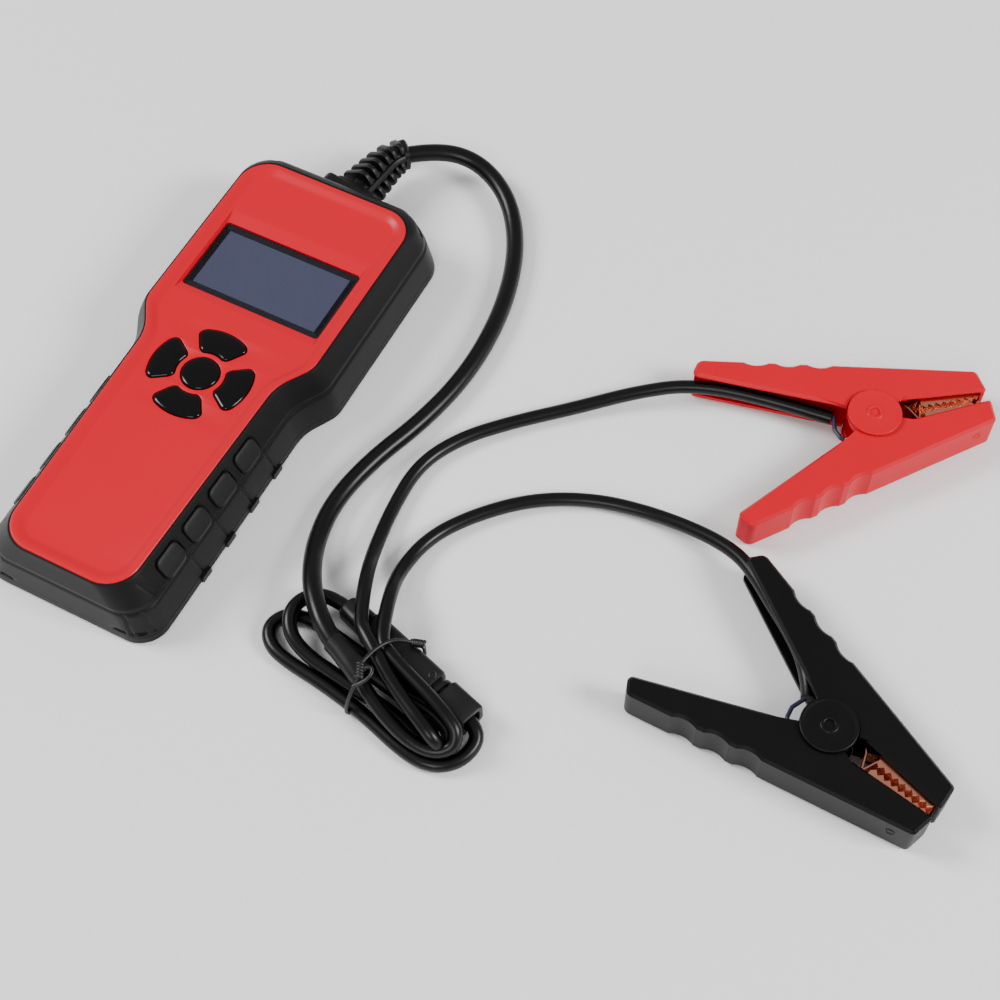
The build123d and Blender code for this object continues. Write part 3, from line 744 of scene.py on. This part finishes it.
@dataclass
class KeyPad:
    """Glossy keys: four sectors round one disc."""

    centre_y: float = -5.25
    disc_r: float = 7.2
    inner_r: float = 9.6
    outer_r: float = 20.0
    half_deg: float = 33.0
    low: float = 20.4
    shoulder: float = 25.2
    top: float = 26.15

    def plan(self, key: KeyShape, grow: float) -> list[Point2]:
        """Outline of a key, grown by a margin.

        Args:
            key: which key.
            grow: margin, negative to shrink.

        Returns:
            Points of its outline.
        """
        angle = key.value[1]
        if angle is None:
            steps = 64
            turn = [2 * math.pi * k / steps for k in range(steps)]
            r = self.disc_r + grow
            return [(r * math.cos(t), self.centre_y + r * math.sin(t)) for t in turn]
        mid = (self.inner_r + self.outer_r) / 2
        depth = self.outer_r - self.inner_r
        arc = 2 * mid * math.radians(self.half_deg)
        base = rounded_rect(depth + 2 * grow, arc + 2 * grow, max(2.6 + grow, 0.4), 8, 8)
        points = []
        for u, v in base:
            r, t = mid + u, v / mid + math.radians(angle)
            points.append((r * math.cos(t), self.centre_y + r * math.sin(t)))
        return points

    def build(self, key: KeyShape) -> bpy.types.Object:
        """Key with rounded edges and a crowned top."""
        profile = [
            (0.0, self.low), (0.0, self.shoulder), (-0.12, self.shoulder + 0.35),
            (-0.4, self.shoulder + 0.65), (-0.85, self.shoulder + 0.85),
            (-1.6, self.top), (-2.6, self.top + 0.12), (-3.6, self.top + 0.18),
        ]
        maker = MeshMaker()
        maker.skin([[(x, y, z) for x, y in self.plan(key, grow)] for grow, z in profile])
        name = key.value[0]
        made = maker.piece(f"{name}_cap", KEY_BLACK)
        enlist(made, KEY_BLACK, name, [name])
        return made


@dataclass
class FacePanel:
    """Glossy red panel: raised rim, dished field, bevelled display recess and key openings."""

    shape: CaseShape
    keys: KeyPad
    seat_z: float = 23.6
    field_z: float = 25.4
    rim_z: float = 27.0
    lcd_y: float = 44.75

    def build(self) -> bpy.types.Object:
        """Panel as one closed solid."""
        rim = self.shape.level(27.0)
        lip_in, lip_z, dish_width = 1.5, 26.96, 4.4
        profile = [
            (0.1, self.seat_z), (0.0, 26.3), (0.08, 26.65), (0.35, 26.92), (0.8, self.rim_z), (lip_in, lip_z),
        ]
        drop = self.rim_z - self.field_z
        for t in (0.15, 0.3, 0.45, 0.6, 0.75, 0.88, 1.0):
            profile.append((lip_in + dish_width * t, lip_z - (drop - 0.04) * smooth(t)))
        maker = MeshMaker()
        outer = maker.skin([[(x, y, z) for x, y in self.shape.outline(rim, inset)]
                            for inset, z in profile], False, False)
        recess = [
            (66.4, 42.4, 3.4, 1.0, self.field_z), (65.8, 41.8, 3.0, 1.0, self.field_z - 0.08),
            (60.2, 34.2, 1.9, 0.1, self.field_z - 0.86), (59.5, 33.3, 1.5, 0.0, self.field_z - 1.0),
            (59.4, 33.2, 1.4, 0.0, self.seat_z),
        ]
        window = maker.skin([[(x, self.lcd_y + dy + y, z) for x, y in rounded_rect(w, d, r, 6, 12)]
                             for w, d, r, dy, z in recess], False, False)
        openings = []
        for key in KeyShape:
            edge = [
                (0.55, self.field_z), (0.32, self.field_z - 0.1),
                (0.25, self.field_z - 0.35), (0.25, self.seat_z),
            ]
            openings.append(maker.skin([[(x, y, z) for x, y in self.keys.plan(key, grow)]
                                        for grow, z in edge], False, False))
        maker.fill(outer[-1], [window[0]] + [hole[0] for hole in openings])
        maker.fill(outer[0], [window[-1]] + [hole[-1] for hole in openings])
        made = maker.piece("face_panel_gloss", PANEL_RED, 32.0)
        enlist(made, PANEL_RED, "root", ["face_panel"])
        return made


# ---- strain relief --------------------------------------------------------------------------
@dataclass
class StrainRelief:
    """Boot at the cable exit: stepped flange, spined core and staggered half fins."""

    gland: Point3 = (2.0, 101.3, 13.5)
    straight: float = 21.0
    bend: float = 12.5
    turn_deg: float = 40.0
    lean_deg: float = 8.0
    fins: int = 6
    fin_pitch: float = 4.4
    first_fin: float = 7.6
    fin_reach: float = 8.8
    fin_taper: float = 2.9
    fin_half: float = 1.15
    collar: float = 10.4
    roll_deg: float = 56.0

    def axis(self, s: float) -> tuple[Vector, Vector]:
        """Point and direction of the centre line at a distance along it."""
        way = math.radians(90 - self.lean_deg)
        start = Vector(self.gland)
        if s <= self.straight:
            d = Vector((math.cos(way), math.sin(way), 0))
            return start + d * s, d
        knee = start + Vector((math.cos(way), math.sin(way), 0)) * self.straight
        r = self.bend / math.radians(self.turn_deg)
        t = (s - self.straight) / r
        now = way - t
        centre = knee + Vector((math.sin(way), -math.cos(way), 0)) * r
        ahead = Vector((math.cos(now), math.sin(now), 0))
        return centre + Vector((-math.sin(now), math.cos(now), 0)) * r, ahead

    def loop(self, s: float, plan: Iterable[Point2], roll_deg: float = 0.0) -> list[Point3]:
        """Loop square to the centre line.

        Args:
            s: distance along the centre line.
            plan: points with x sideways and y upwards.
            roll_deg: turn about the centre line, towards the right.

        Returns:
            The loop's points.
        """
        at, way = self.axis(s)
        roll = math.radians(roll_deg)
        side = Vector((way.y, -way.x, 0))
        across = side * math.cos(roll) - Vector((0, 0, math.sin(roll)))
        above = side * math.sin(roll) + Vector((0, 0, math.cos(roll)))
        return [tuple(at + across * x + above * y) for x, y in plan]

    def build(self) -> bpy.types.Object:
        """Boot as overlapping moulded features in one piece."""
        maker = MeshMaker()
        total = self.straight + self.bend
        for width, height, start, end, r in ((26.4, 15.0, -3.0, 1.9, 3.4), (18.8, 12.8, 1.0, 3.7, 3.0)):
            steps = [(0.0, start), (0.0, end - 0.6), (-0.2, end - 0.2), (-0.6, end)]
            maker.skin([self.loop(s, rounded_rect(width + 2 * g, height + 2 * g, r + g)) for g, s in steps])
        core = [
            (5.0, 2.0), (5.0, 12.0), (4.7, 20.0), (4.6, total - 3), (4.9, total - 2.0),
            (4.7, total - 0.3), (3.9, total),
        ]
        finer = [(r0 + (r1 - r0) * k / 5, s0 + (s1 - s0) * k / 5)
                 for (r0, s0), (r1, s1) in zip(core, core[1:]) for k in range(5)]
        maker.skin([self.loop(s, rounded_rect(2 * r, 2 * r, r * 0.8)) for r, s in finer + [core[-1]]])
        spine = [(s, 7.3 - 1.5 * s / total) for s in [3.0 + (total - 5.0) * k / 24 for k in range(25)]]
        bar = rounded_rect(2, 2, 0.4, 4, 2)
        maker.skin([self.loop(s, [(x * 1.3, h * 0.5 + y * h * 0.5) for x, y in bar], self.roll_deg)
                    for s, h in spine])
        for side in (-1.0, 1.0):
            for i in range(self.fins):
                mid = self.first_fin + self.fin_pitch * (i - (0.5 if side > 0 else 0.0))
                reach = self.fin_reach - self.fin_taper * mid / total
                half = self.fin_half
                steps = [
                    (-0.5, -half), (-0.12, -half * 0.8), (0.0, -half * 0.45),
                    (0.0, half * 0.45), (-0.12, half * 0.8), (-0.5, half),
                ]
                loops = []
                for g, ds in steps:
                    plan = rounded_rect(reach + g, 2 * (reach + g) * 0.92, reach * 0.42, 8, 3)
                    half_fin = [(side * (x + reach / 2 + g / 2), y) for x, y in plan]
                    loops.append(self.loop(mid + ds, half_fin, self.roll_deg))
                maker.skin(loops)
        collar = [(-0.5, total - 3.4), (0.0, total - 3.0), (0.0, total - 0.9), (-0.5, total - 0.4)]
        maker.skin([self.loop(s, rounded_rect(self.collar + 2 * g, self.collar + 2 * g, 2.8)) for g,
                    s in collar])
        made = maker.piece("strain_relief_boot", BOOT)
        enlist(made, BOOT, "root", ["strain_relief"])
        return made


# ---- cords and the tied bundle --------------------------------------------------------------
@dataclass(frozen=True)
class Bundle:
    """Frame of the tied bundle: its middle and the direction along it, in millimetres."""

    x: float = 117.2
    y: float = -78.4
    along: Point2 = (0.953, -0.303)

    def place(self, u: float, v: float, z: float) -> Point3:
        """Point at u along and v across the bundle."""
        ax, ay = self.along
        return self.x + ax * u - ay * v, self.y + ay * u + ax * v, z

    def path(self, points: Iterable[Point3]) -> list[Point3]:
        """Several points of the bundle."""
        return [self.place(*p) for p in points]


class FarEnd(Enum):
    """What a cord ends in."""

    OBJECT = "object"


@dataclass
class Lead:
    """One length of cable along a route of given points."""

    name: str
    route: list[Point3]
    diameter: float
    length: float
    stands_for: tuple[str, ...]

    def build(self, with_pieces: Sequence[object] = ()) -> bpy.types.Object:
        """Round cable on a smooth spline.

        Args:
            with_pieces: separate pieces that lie on this cable; not used.

        Returns:
            The curve object.
        """
        data = bpy.data.curves.new(self.name, "CURVE")
        data.dimensions = "3D"
        data.resolution_u = 10
        data.bevel_depth = self.diameter / 2 * MM
        data.bevel_resolution = 8
        data.use_fill_caps = True
        spline = data.splines.new("NURBS")
        spline.points.add(len(self.route) - 1)
        for point, spot in zip(spline.points, self.route):
            point.co = (*(Vector(spot) * MM), 1.0)
        spline.order_u = 3
        spline.use_endpoint_u = True
        made = bpy.data.objects.new(self.name, data)
        bpy.context.scene.collection.objects.link(made)
        dress(made, CABLE)
        enlist(made, CABLE, "root", self.stands_for)
        return made


@dataclass
class CableSet:
    """Trunk cable, the two leads, the Y moulding, the in-line fuse holder and the wire tie."""

    bundle: Bundle
    boot_tip: Point3 = (10.6, 132.2, 13.5)
    trunk_d: float = 7.0
    lead_d: float = 5.2
    holder_v: float = 12.76
    holder_z: float = 5.8
    holder_left: float = -33.2
    holder_right: float = 29.3

    def trunk(self) -> Lead:
        """Thick cable from the boot to the Y moulding on top of the bundle."""
        route = [
            self.boot_tip, (20.9, 141.2, 12.9), (36.5, 144.8, 10.2), (52.6, 137.6, 6.9), (64.8, 123.0, 4.4),
            (73.4, 103.0, 3.6), (78.6, 79.0, 3.6), (79.4, 52.0, 3.6), (74.6, 26.0, 3.6), (66.6, 3.0, 3.6),
            (62.8, -19.0, 3.6), (66.0, -38.0, 5.0), (74.6, -55.0, 11.8), (84.0, -66.0, 13.6),
        ]
        route += self.bundle.path([(-26.0, -1.6, 13.0), (-20.0, -2.4, 12.4)])
        return Lead("trunk_cord", route, self.trunk_d, 0.281, ("trunk_cable", "cable_hank"))

    def red_to_holder(self) -> Lead:
        """Red lead from the Y moulding, round the second loop, into the fuse holder."""
        spots = [
            (-9.0, -0.8, 10.6), (2.0, 0.8, 8.8), (12.0, 2.8, 8.6), (20.5, 4.8, 8.4), (27.0, 4.4, 7.2),
            (30.0, 0.6, 5.6),
            (27.0, -3.4, 4.2), (20.0, -4.0, 3.4), (9.0, -3.2, 3.4), (-4.0, -5.6, 4.8), (-17.0, -8.0, 5.6),
            (-28.0, -10.0, 6.2),
            (-38.0, -9.4, 7.8), (-45.0, -3.4, 8.8), (-45.4, 5.4, 8.0), (-39.4, 11.8, 6.4),
            (-30.0, self.holder_v, self.holder_z),
        ]
        return Lead("red_lead_to_fuse", self.bundle.path(spots), self.lead_d, 0.148, ())

    def red_to_clamp(self) -> Lead:
        """Red lead from the fuse holder's mouth, round both ends of the bundle, to the red clamp."""
        spots = [
            (25.6, self.holder_v, self.holder_z), (31.0, 12.6, 5.2), (35.2, 9.4, 3.4), (36.0, 2.0, 2.8),
            (32.8, -5.0, 2.8),
            (26.4, -9.0, 2.8), (17.0, -10.4, 2.8), (6.0, -10.4, 2.8), (-5.0, -10.9, 2.8), (-20.0, -12.8, 2.8),
            (-32.0, -15.2, 2.8), (-41.6, -15.8, 2.8), (-48.2, -11.2, 2.8), (-47.4, -3.6, 2.8),
            (-41.0, 0.8, 2.8),
            (-31.0, 2.6, 2.8), (-19.0, 4.2, 2.8), (-5.0, 4.8, 2.8), (7.0, 5.0, 2.8), (16.0, 3.4, 2.7),
            (21.6, 0.8, 2.8),
            (27.2, -1.4, 4.2), (28.6, -2.2, 8.4), (25.6, -2.6, 12.4), (19.0, -1.8, 13.6), (11.0, -0.6, 14.0),
            (0.0, 1.6, 15.2), (-8.0, 4.2, 16.4),
            (-15.6, 6.6, 16.4),
        ]
        floor = [
            (99.8, -64.0, 15.2), (92.2, -47.0, 13.0), (86.4, -31.5, 4.8), (83.0, -12.0, 2.8),
            (82.4, 8.5, 2.8),
            (90.4, 26.0, 2.8), (105.0, 42.0, 2.8), (122.5, 58.0, 2.8), (140.2, 73.4, 5.2), (158.6, 84.6, 8.4),
            (185.4, 91.3, 8.5), (211.0, 94.15, 8.5),
        ]
        return Lead("red_lead_to_clamp", self.bundle.path(spots) + floor, self.lead_d, 0.490, ("red_lead",))

    def black_lead(self) -> Lead:
        """Black lead from the Y moulding, one fold, then to the black clamp."""
        spots = [
            (-9.0, -4.4, 11.6), (0.0, -6.6, 10.4), (10.0, -7.8, 8.8), (20.0, -7.6, 7.4), (28.4, -4.8, 6.6),
            (32.4, 0.8, 8.0),
            (30.0, 5.0, 11.8), (23.6, 5.8, 13.8), (14.0, 6.6, 14.6), (4.0, 7.0, 14.8), (-5.0, 7.6, 15.2),
        ]
        floor = [
            (109.6, -67.0, 15.2), (103.2, -50.0, 13.4), (98.6, -35.0, 4.8), (100.6, -17.0, 2.8),
            (110.8, -1.0, 2.8),
            (127.0, 15.0, 2.8), (147.0, 25.2, 2.8), (168.0, 29.0, 3.6), (189.0, 28.2, 6.4),
            (203.0, 25.0, 8.2),
            (212.4, 19.4, 8.5), (221.3, 12.1, 8.5), (229.9, 5.6, 8.5), (239.0, -2.6, 8.5),
            (245.9, -12.9, 8.5), (246.8, -16.4, 8.5),
        ]
        return Lead("black_lead_to_clamp", self.bundle.path(spots) + floor, self.lead_d, 0.326,
                    ("black_lead",))

    def lengthwise(self, v: float, z: float,
                   sections: Sequence[tuple[float, float, float, float]]) -> list[list[Point3]]:
        """Loops of a moulding that lies along the bundle.

        Args:
            v: its place across the bundle.
            z: height of its middle.
            sections: distance along, width, height and corner radius of each section.

        Returns:
            Closed loops for a skin.
        """
        return [[self.bundle.place(u, v + a, z + b) for a, b in rounded_rect(w, h, r, 6, 4)]
                for u, w, h, r in sections]

    def fuse_holder(self) -> list[bpy.types.Object]:
        """Two-part holder: long half with a sleeve and a thumb dimple, short half with a square mouth."""
        left, right = self.holder_left, self.holder_right
        body = MeshMaker()
        rear = [
            (left, 5.6, 5.6, 2.4), (left + 0.3, 7.6, 7.6, 2.8),
            (left + 1.2, 8.6, 8.6, 3.0), (left + 11.0, 9.2, 9.0, 3.0),
        ]
        block = [
            (left + 11.6, 10.2, 10.0, 3.0), (left + 12.6, 11.0, 10.8, 2.9), (left + 43.6, 11.0, 10.8, 2.9),
            (left + 44.6, 10.2, 10.0, 2.8), (left + 45.0, 8.4, 8.4, 2.6),
        ]
        body.skin(self.lengthwise(self.holder_v, self.holder_z, rear + block))
        for side in (-5.4, 5.4):
            seam = [[self.bundle.place(u, self.holder_v + side + a * 0.35, self.holder_z + b * 0.5)
                     for a, b in rounded_rect(1, 1, 0.3, 2, 2)] for u in (left + 14.0, left + 42.0)]
            body.skin(seam)
        dimple = ((1.5, 5.0), (1.5, 5.55), (1.2, 5.7), (0.9, 5.6), (0.8, 5.2))
        turn = [2 * math.pi * k / 24 for k in range(24)]
        body.skin([[self.bundle.place(9.3 + r * math.cos(t), self.holder_v + 1.2 + r * math.sin(t),
                                      self.holder_z + z) for t in turn] for r, z in dimple])
        whole = body.piece("fuse_holder_body_moulding", MOULDING)
        enlist(whole, MOULDING, "root", ["fuse_holder_body"])
        cap = MeshMaker()
        start = left + 45.0
        neck = [
            (start, 8.0, 7.8, 3.4), (start + 1.4, 8.0, 7.8, 3.4), (start + 1.5, 9.8, 9.4, 3.8),
            (start + 2.8, 9.8, 9.4, 3.8), (start + 2.9, 8.0, 7.8, 3.4), (start + 3.6, 8.2, 8.0, 3.2),
            (start + 4.0, 10.4, 9.8, 2.4), (start + 4.6, 11.0, 10.4, 2.2), (right - 0.5, 11.0, 10.4, 2.2),
            (right, 10.4, 9.8, 2.0), (right, 7.6, 7.2, 1.8), (right - 0.5, 7.0, 6.6, 1.6),
            (right - 4.6, 6.9, 6.5, 1.6),
        ]
        cap.skin(self.lengthwise(self.holder_v, self.holder_z, neck))
        short = cap.piece("fuse_holder_cap_moulding", MOULDING)
        enlist(short, MOULDING, "root", ["fuse_holder_cap"])
        return [whole, short]

    def splitter(self) -> bpy.types.Object:
        """Y moulding: a tapered sleeve on the trunk that widens for the two leads."""
        maker = MeshMaker()
        sections = [
            (-24.0, 7.1, 7.1, 3.5), (-23.6, 7.8, 7.8, 3.8), (-20.0, 8.0, 7.8, 3.8), (-14.0, 9.2, 7.6, 3.6),
            (-8.6, 10.4, 7.2, 3.3), (-7.2, 10.2, 6.8, 3.1), (-6.8, 9.2, 6.0, 2.6),
        ]
        loops = []
        for u, w, h, r in sections:
            slide = (u + 24.0) / 17.0
            loops.append(self.lengthwise(-2.0 - 0.7 * slide, 12.7 - 1.2 * slide, [(u, w, h, r)])[0])
        maker.skin(loops)
        made = maker.piece("y_splitter_moulding", MOULDING)
        enlist(made, MOULDING, "root", ["y_splitter"])
        return made

    def tie(self) -> bpy.types.Object:
        """Wire tie round the bundle, twisted shut on top and at the far side, with loose tails."""
        runs: list[list[Point3]] = [
            [(-4.4, -13.0, 0.9), (-4.2, -14.4, 3.0), (-4.2, -13.8, 8.0), (-4.6, -10.2, 14.6),
             (-4.6, -6.6, 18.6)],
            [(-7.8, -3.0, 19.2), (-8.2, 1.0, 19.4), (-8.2, 5.0, 19.6), (-7.4, 10.0, 18.8),
             (-6.4, 14.0, 15.6), (-3.7, 17.1, 12.8)],
            [(-1.6, 19.2, 12.0), (-1.2, 20.0, 8.0), (-1.0, 19.6, 2.5), (-1.2, 18.0, 0.9)],
            [(-6.0, -3.2, 19.2), (-4.4, -0.9, 19.6), (-2.3, -2.6, 19.4), (-2.2, -6.2, 18.6),
             (-4.6, -9.8, 16.6)],
        ]
        for phase in (0.0, math.pi):
            for a, b in (((-8.0, -2.7, 19.3), (-4.3, -6.6, 18.7)), ((-4.0, 16.9, 12.8), (-0.8, 19.8, 11.8))):
                runs.append([self.twist(Vector(a), Vector(b), phase, k / 28) for k in range(29)])
        data = bpy.data.curves.new("wire_tie", "CURVE")
        data.dimensions = "3D"
        data.bevel_depth = 0.72 * MM
        data.bevel_resolution = 4
        data.use_fill_caps = True
        for run in runs:
            spline = data.splines.new("NURBS")
            spline.points.add(len(run) - 1)
            for point, spot in zip(spline.points, self.bundle.path(run)):
                point.co = (*(Vector(spot) * MM), 1.0)
            spline.order_u = 3
            spline.use_endpoint_u = True
        made = bpy.data.objects.new("wire_tie", data)
        bpy.context.scene.collection.objects.link(made)
        dress(made, TIE)
        enlist(made, TIE, "root", ["cable_tie"])
        return made

    def twist(self, a: Vector, b: Vector, phase: float, t: float) -> Point3:
        """Point on one strand of a twist between a and b."""
        turns, radius = 2.5, 0.85
        way = (b - a).normalized()
        side = way.cross(Vector((0, 0, 1))).normalized()
        up = side.cross(way)
        angle = phase + 2 * math.pi * turns * t
        return tuple(a + (b - a) * t + (side * math.cos(angle) + up * math.sin(angle)) * radius)

    def build(self, clamp_pieces: dict[str, list[bpy.types.Object]]) -> None:
        """Lay every cable with its pieces.

        Args:
            clamp_pieces: for each colour, the pieces of its clamp.
        """
        holder = self.fuse_holder()
        splitter = self.splitter()
        tie = self.tie()
        self.trunk().build([splitter, tie])
        self.red_to_holder().build([holder[0]])
        self.red_to_clamp().build([holder[1], *clamp_pieces["red"]])
        self.black_lead().build(clamp_pieces["black"])


# ---- clamps ---------------------------------------------------------------------------------
@dataclass
class SpringClamp:
    """Spring clamp: two moulded channels, pivot discs, toothed copper jaws and a folded contact strip."""

    colour: str
    pivot: Point2
    heading_deg: float
    disc_r: float = 10.0
    top: float = 17.0
    boss_r: float = 2.9
    wall_angle_deg: float = -14.46

    def place(self, point: Point3) -> Point3:
        """Point moved from the clamp's own frame to its place."""
        t = math.radians(self.heading_deg)
        x, y, z = point
        px, py = self.pivot
        return px + x * math.cos(t) - y * math.sin(t), py + x * math.sin(t) + y * math.cos(t), z

    def lathe(self, maker: MeshMaker, profile: Sequence[Point2], segments: int = 72) -> None:
        """Turn a profile of radius and height about the pivot."""
        turn = [2 * math.pi * k / segments for k in range(segments)]
        maker.skin([[self.place((r * math.cos(t), r * math.sin(t), z)) for t in turn] for r, z in profile])

    def rivet(self) -> bpy.types.Object:
        """Pivot: a dished disc with a rolled rim and a hollow boss on each side of the pin."""
        maker = MeshMaker()
        rim, t, boss = self.disc_r, self.top, self.boss_r
        dish = [
            (rim - 0.4, t - 1.15), (rim, t - 0.9), (rim, t - 0.3), (rim - 0.12, t - 0.1), (rim - 0.35, t),
            (rim - 0.9, t), (rim - 1.2, t - 0.14), (rim - 1.6, t - 0.2), (boss + 0.9, t - 0.2),
            (boss + 0.35, t - 0.14), (boss + 0.1, t + 0.15), (boss - 0.2, t + 0.25), (boss - 0.7, t + 0.22),
            (boss - 1.0, t + 0.05), (boss - 1.1, t - 0.5), (0.3, t - 0.55),
        ]
        self.lathe(maker, dish)
        self.lathe(maker, [(r, max(t - z, 0.0)) for r, z in dish[:9]])
        self.lathe(maker, [(2.2, 0.5), (2.2, t - 0.8)], 32)
        finish = CLAMP_FINISH[self.colour]
        made = maker.piece(f"{self.colour}_pivot_rivet", finish)
        enlist(made, finish, "root", [f"{self.colour}_clamp_pivot"])
        return made

    def gate_marks(self) -> list[bpy.types.Object]:
        """Shallow ring on each outer wall near the tip, where the mould's gate pin sat."""
        finish = CLAMP_FINISH[self.colour]
        pieces = []
        for side, body in ((1.0, "root"), (-1.0, f"{self.colour}_clamp_jaw")):
            maker = MeshMaker()
            lean = math.radians(self.wall_angle_deg)
            along = Vector((math.cos(lean), math.sin(lean), 0))
            out = Vector((-math.sin(lean), math.cos(lean), 0))
            centre = Vector((36.4, 13.1, 9.0))
            loops = []
            for r, lift in ((1.75, -0.3), (1.75, 0.1), (1.6, 0.2), (1.4, 0.2), (1.3, 0.08), (1.25, -0.3)):
                loop = []
                for k in range(32):
                    t = 2 * math.pi * k / 32
                    p = centre + along * (r * math.cos(t)) + Vector((0, 0, r * math.sin(t))) + out * lift
                    loop.append(self.place((p.x, side * p.y, p.z)))
                loops.append(loop)
            rings = maker.skin(loops, False, False)
            maker.join(rings[-1], rings[0])
            made = maker.piece(f"{self.colour}_gate_mark_{'fixed' if side > 0 else 'moving'}", finish)
            enlist(made, finish, body)
            pieces.append(made)
        return pieces

    def strip(self) -> bpy.types.Object:
        """Folded copper strip that springs between the jaw plates."""
        folds = ((13.2, 3.9), (14.4, 2.4), (16.6, -2.7), (17.2, -2.8), (19.2, 3.2), (20.6, 4.6))
        line = [Vector((x, y, 0)) for x, y in folds]
        half_t, low, high = 0.22, 5.2, 12.0
        maker = MeshMaker()
        loops = []
        for i, p in enumerate(line):
            way = (line[min(i + 1, len(line) - 1)] - line[max(i - 1, 0)]).normalized()
            out = Vector((-way.y, way.x, 0)) * half_t
            corners = [(p + out, low), (p + out, high), (p - out, high), (p - out, low)]
            loops.append([self.place((q.x, q.y, z)) for q, z in corners])
        maker.skin(loops)
        made = maker.piece(f"{self.colour}_contact_strip", COPPER, 20.0)
        enlist(made, COPPER)
        return made

    def solder(self) -> bpy.types.Object:
        """Bright bead of solder where the thin wire meets the pivot."""
        maker = MeshMaker()
        loops = []
        for k in range(1, 12):
            t = math.pi * k / 12
            r, dz = 1.25 * math.sin(t), -1.0 * math.cos(t)
            loops.append([self.place((-11.2 + r * math.cos(a), -5.6 + r * 0.85 * math.sin(a), 10.2 + dz))
                          for a in [2 * math.pi * n / 20 for n in range(20)]])
        maker.skin(loops)
        made = maker.piece(f"{self.colour}_solder_bead", SPRING)
        enlist(made, SPRING)
        return made

    def build(self) -> list[bpy.types.Object]:
        """Dress the clamp's frame pieces, soften their moulded edges and add the fine details."""
        finish = CLAMP_FINISH[self.colour]
        finishes = {
            "clamp_fixed_half": finish, "clamp_moving_half": finish, "clamp_spring": SPRING,
            "jaw_plate_fixed": COPPER, "jaw_plate_moving": COPPER, "sense_wire": WIRE,
        }
        pieces = []
        for name, surface in finishes.items():
            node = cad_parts[f"{self.colour}_{name}"]
            dress(node, surface)
            if surface is finish:
                bevel = node.modifiers.new("moulded_edges", "BEVEL")
                bevel.width = 0.45 * MM
                bevel.segments = 3
                bevel.limit_method = "ANGLE"
                bevel.angle_limit = math.radians(35)
                bevel.harden_normals = True
            pieces.append(node)
            log.info("%s dressed", node.name)
        return pieces + [self.rivet(), self.strip(), self.solder()] + self.gate_marks()


CLAMP_PLACES = {"red": ((225.3, 98.3), 38.9), "black": ((257.2, -26.1), -16.0)}


# ---- studio ---------------------------------------------------------------------------------
@dataclass
class Studio:
    """Camera, pale floor and soft lights."""

    camera_at: Point3 = (0.2748, -0.29815, 0.566)
    heading_deg: float = 27.3
    pitch_deg: float = 58.46
    lens: float = 65.09
    sensor: float = 36.0

    def camera(self) -> None:
        """Camera above the foot end, looking down across the set."""
        data = bpy.data.cameras.new("camera")
        data.lens = self.lens
        data.sensor_width = self.sensor
        data.clip_start = 0.01
        made = bpy.data.objects.new("camera", data)
        heading, pitch = math.radians(self.heading_deg), math.radians(self.pitch_deg)
        level = math.cos(pitch)
        way = Vector((-math.sin(heading) * level, math.cos(heading) * level, -math.sin(pitch)))
        made.location = self.camera_at
        made.rotation_euler = way.to_track_quat("-Z", "Y").to_euler()
        bpy.context.scene.collection.objects.link(made)
        bpy.context.scene.camera = made

    def floor(self) -> None:
        """Wide pale floor."""
        maker = MeshMaker()
        half = 3000.0
        maker.bm.faces.new(maker.ring([(-half, -half, 0), (half, -half, 0), (half, half, 0),
                                       (-half, half, 0)]))
        paper = Finish("floor", "#F6F6F6", "#F4F4F4", 0.7, 0.02, drift_mm=400, grain_mm=5, relief_mm=0.0)
        maker.piece("floor", paper)

    def light(self, name: str, at: Point3, size: float, power: float) -> None:
        """Soft square light aimed at the middle of the object."""
        data = bpy.data.lights.new(name, "AREA")
        data.size = size
        data.energy = power
        made = bpy.data.objects.new(name, data)
        made.location = at
        aim = Vector((0.11, 0.0, 0.0)) - Vector(at)
        made.rotation_euler = aim.to_track_quat("-Z", "Y").to_euler()
        bpy.context.scene.collection.objects.link(made)

    def build(self) -> None:
        """Set up the floor, lights and sky."""
        self.floor()
        self.light("key_light", (-1.5, -0.3, 1.4), 0.8, 38.0)
        self.light("front_light", (0.4, -1.6, 1.5), 0.8, 14.0)
        self.light("side_light", (1.6, 0.2, 1.1), 0.6, 30.0)
        world = bpy.data.worlds.new("studio")
        world.use_nodes = True
        back = next(n for n in world.node_tree.nodes if n.type == "BACKGROUND")
        back.inputs["Color"].default_value = (1, 1, 1, 1)
        back.inputs["Strength"].default_value = 0.45
        bpy.context.scene.world = world


def main() -> None:
    """Build the studio, the case, the cables and the clamps in order."""
    logging.basicConfig(level=logging.INFO, format="%(name)s: %(message)s")
    studio = Studio()
    studio.camera()
    clamp_pieces = {colour: SpringClamp(colour, *place).build() for colour, place in CLAMP_PLACES.items()}
    CableSet(Bundle()).build(clamp_pieces)
    StrainRelief().build()
    shape = CaseShape()
    shell = CaseShell(shape)
    shell.build()
    for side in (-1.0, 1.0):
        shell.grip_pads(side)
    keys = KeyPad()
    FacePanel(shape, keys).build()
    for key in KeyShape:
        keys.build(key)
    for name, finish in HIDDEN_FINISHES.items():
        dress(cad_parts[name], finish)
        log.info("%s dressed", name)
    studio.build()


if __name__ == "__main__":
    main()
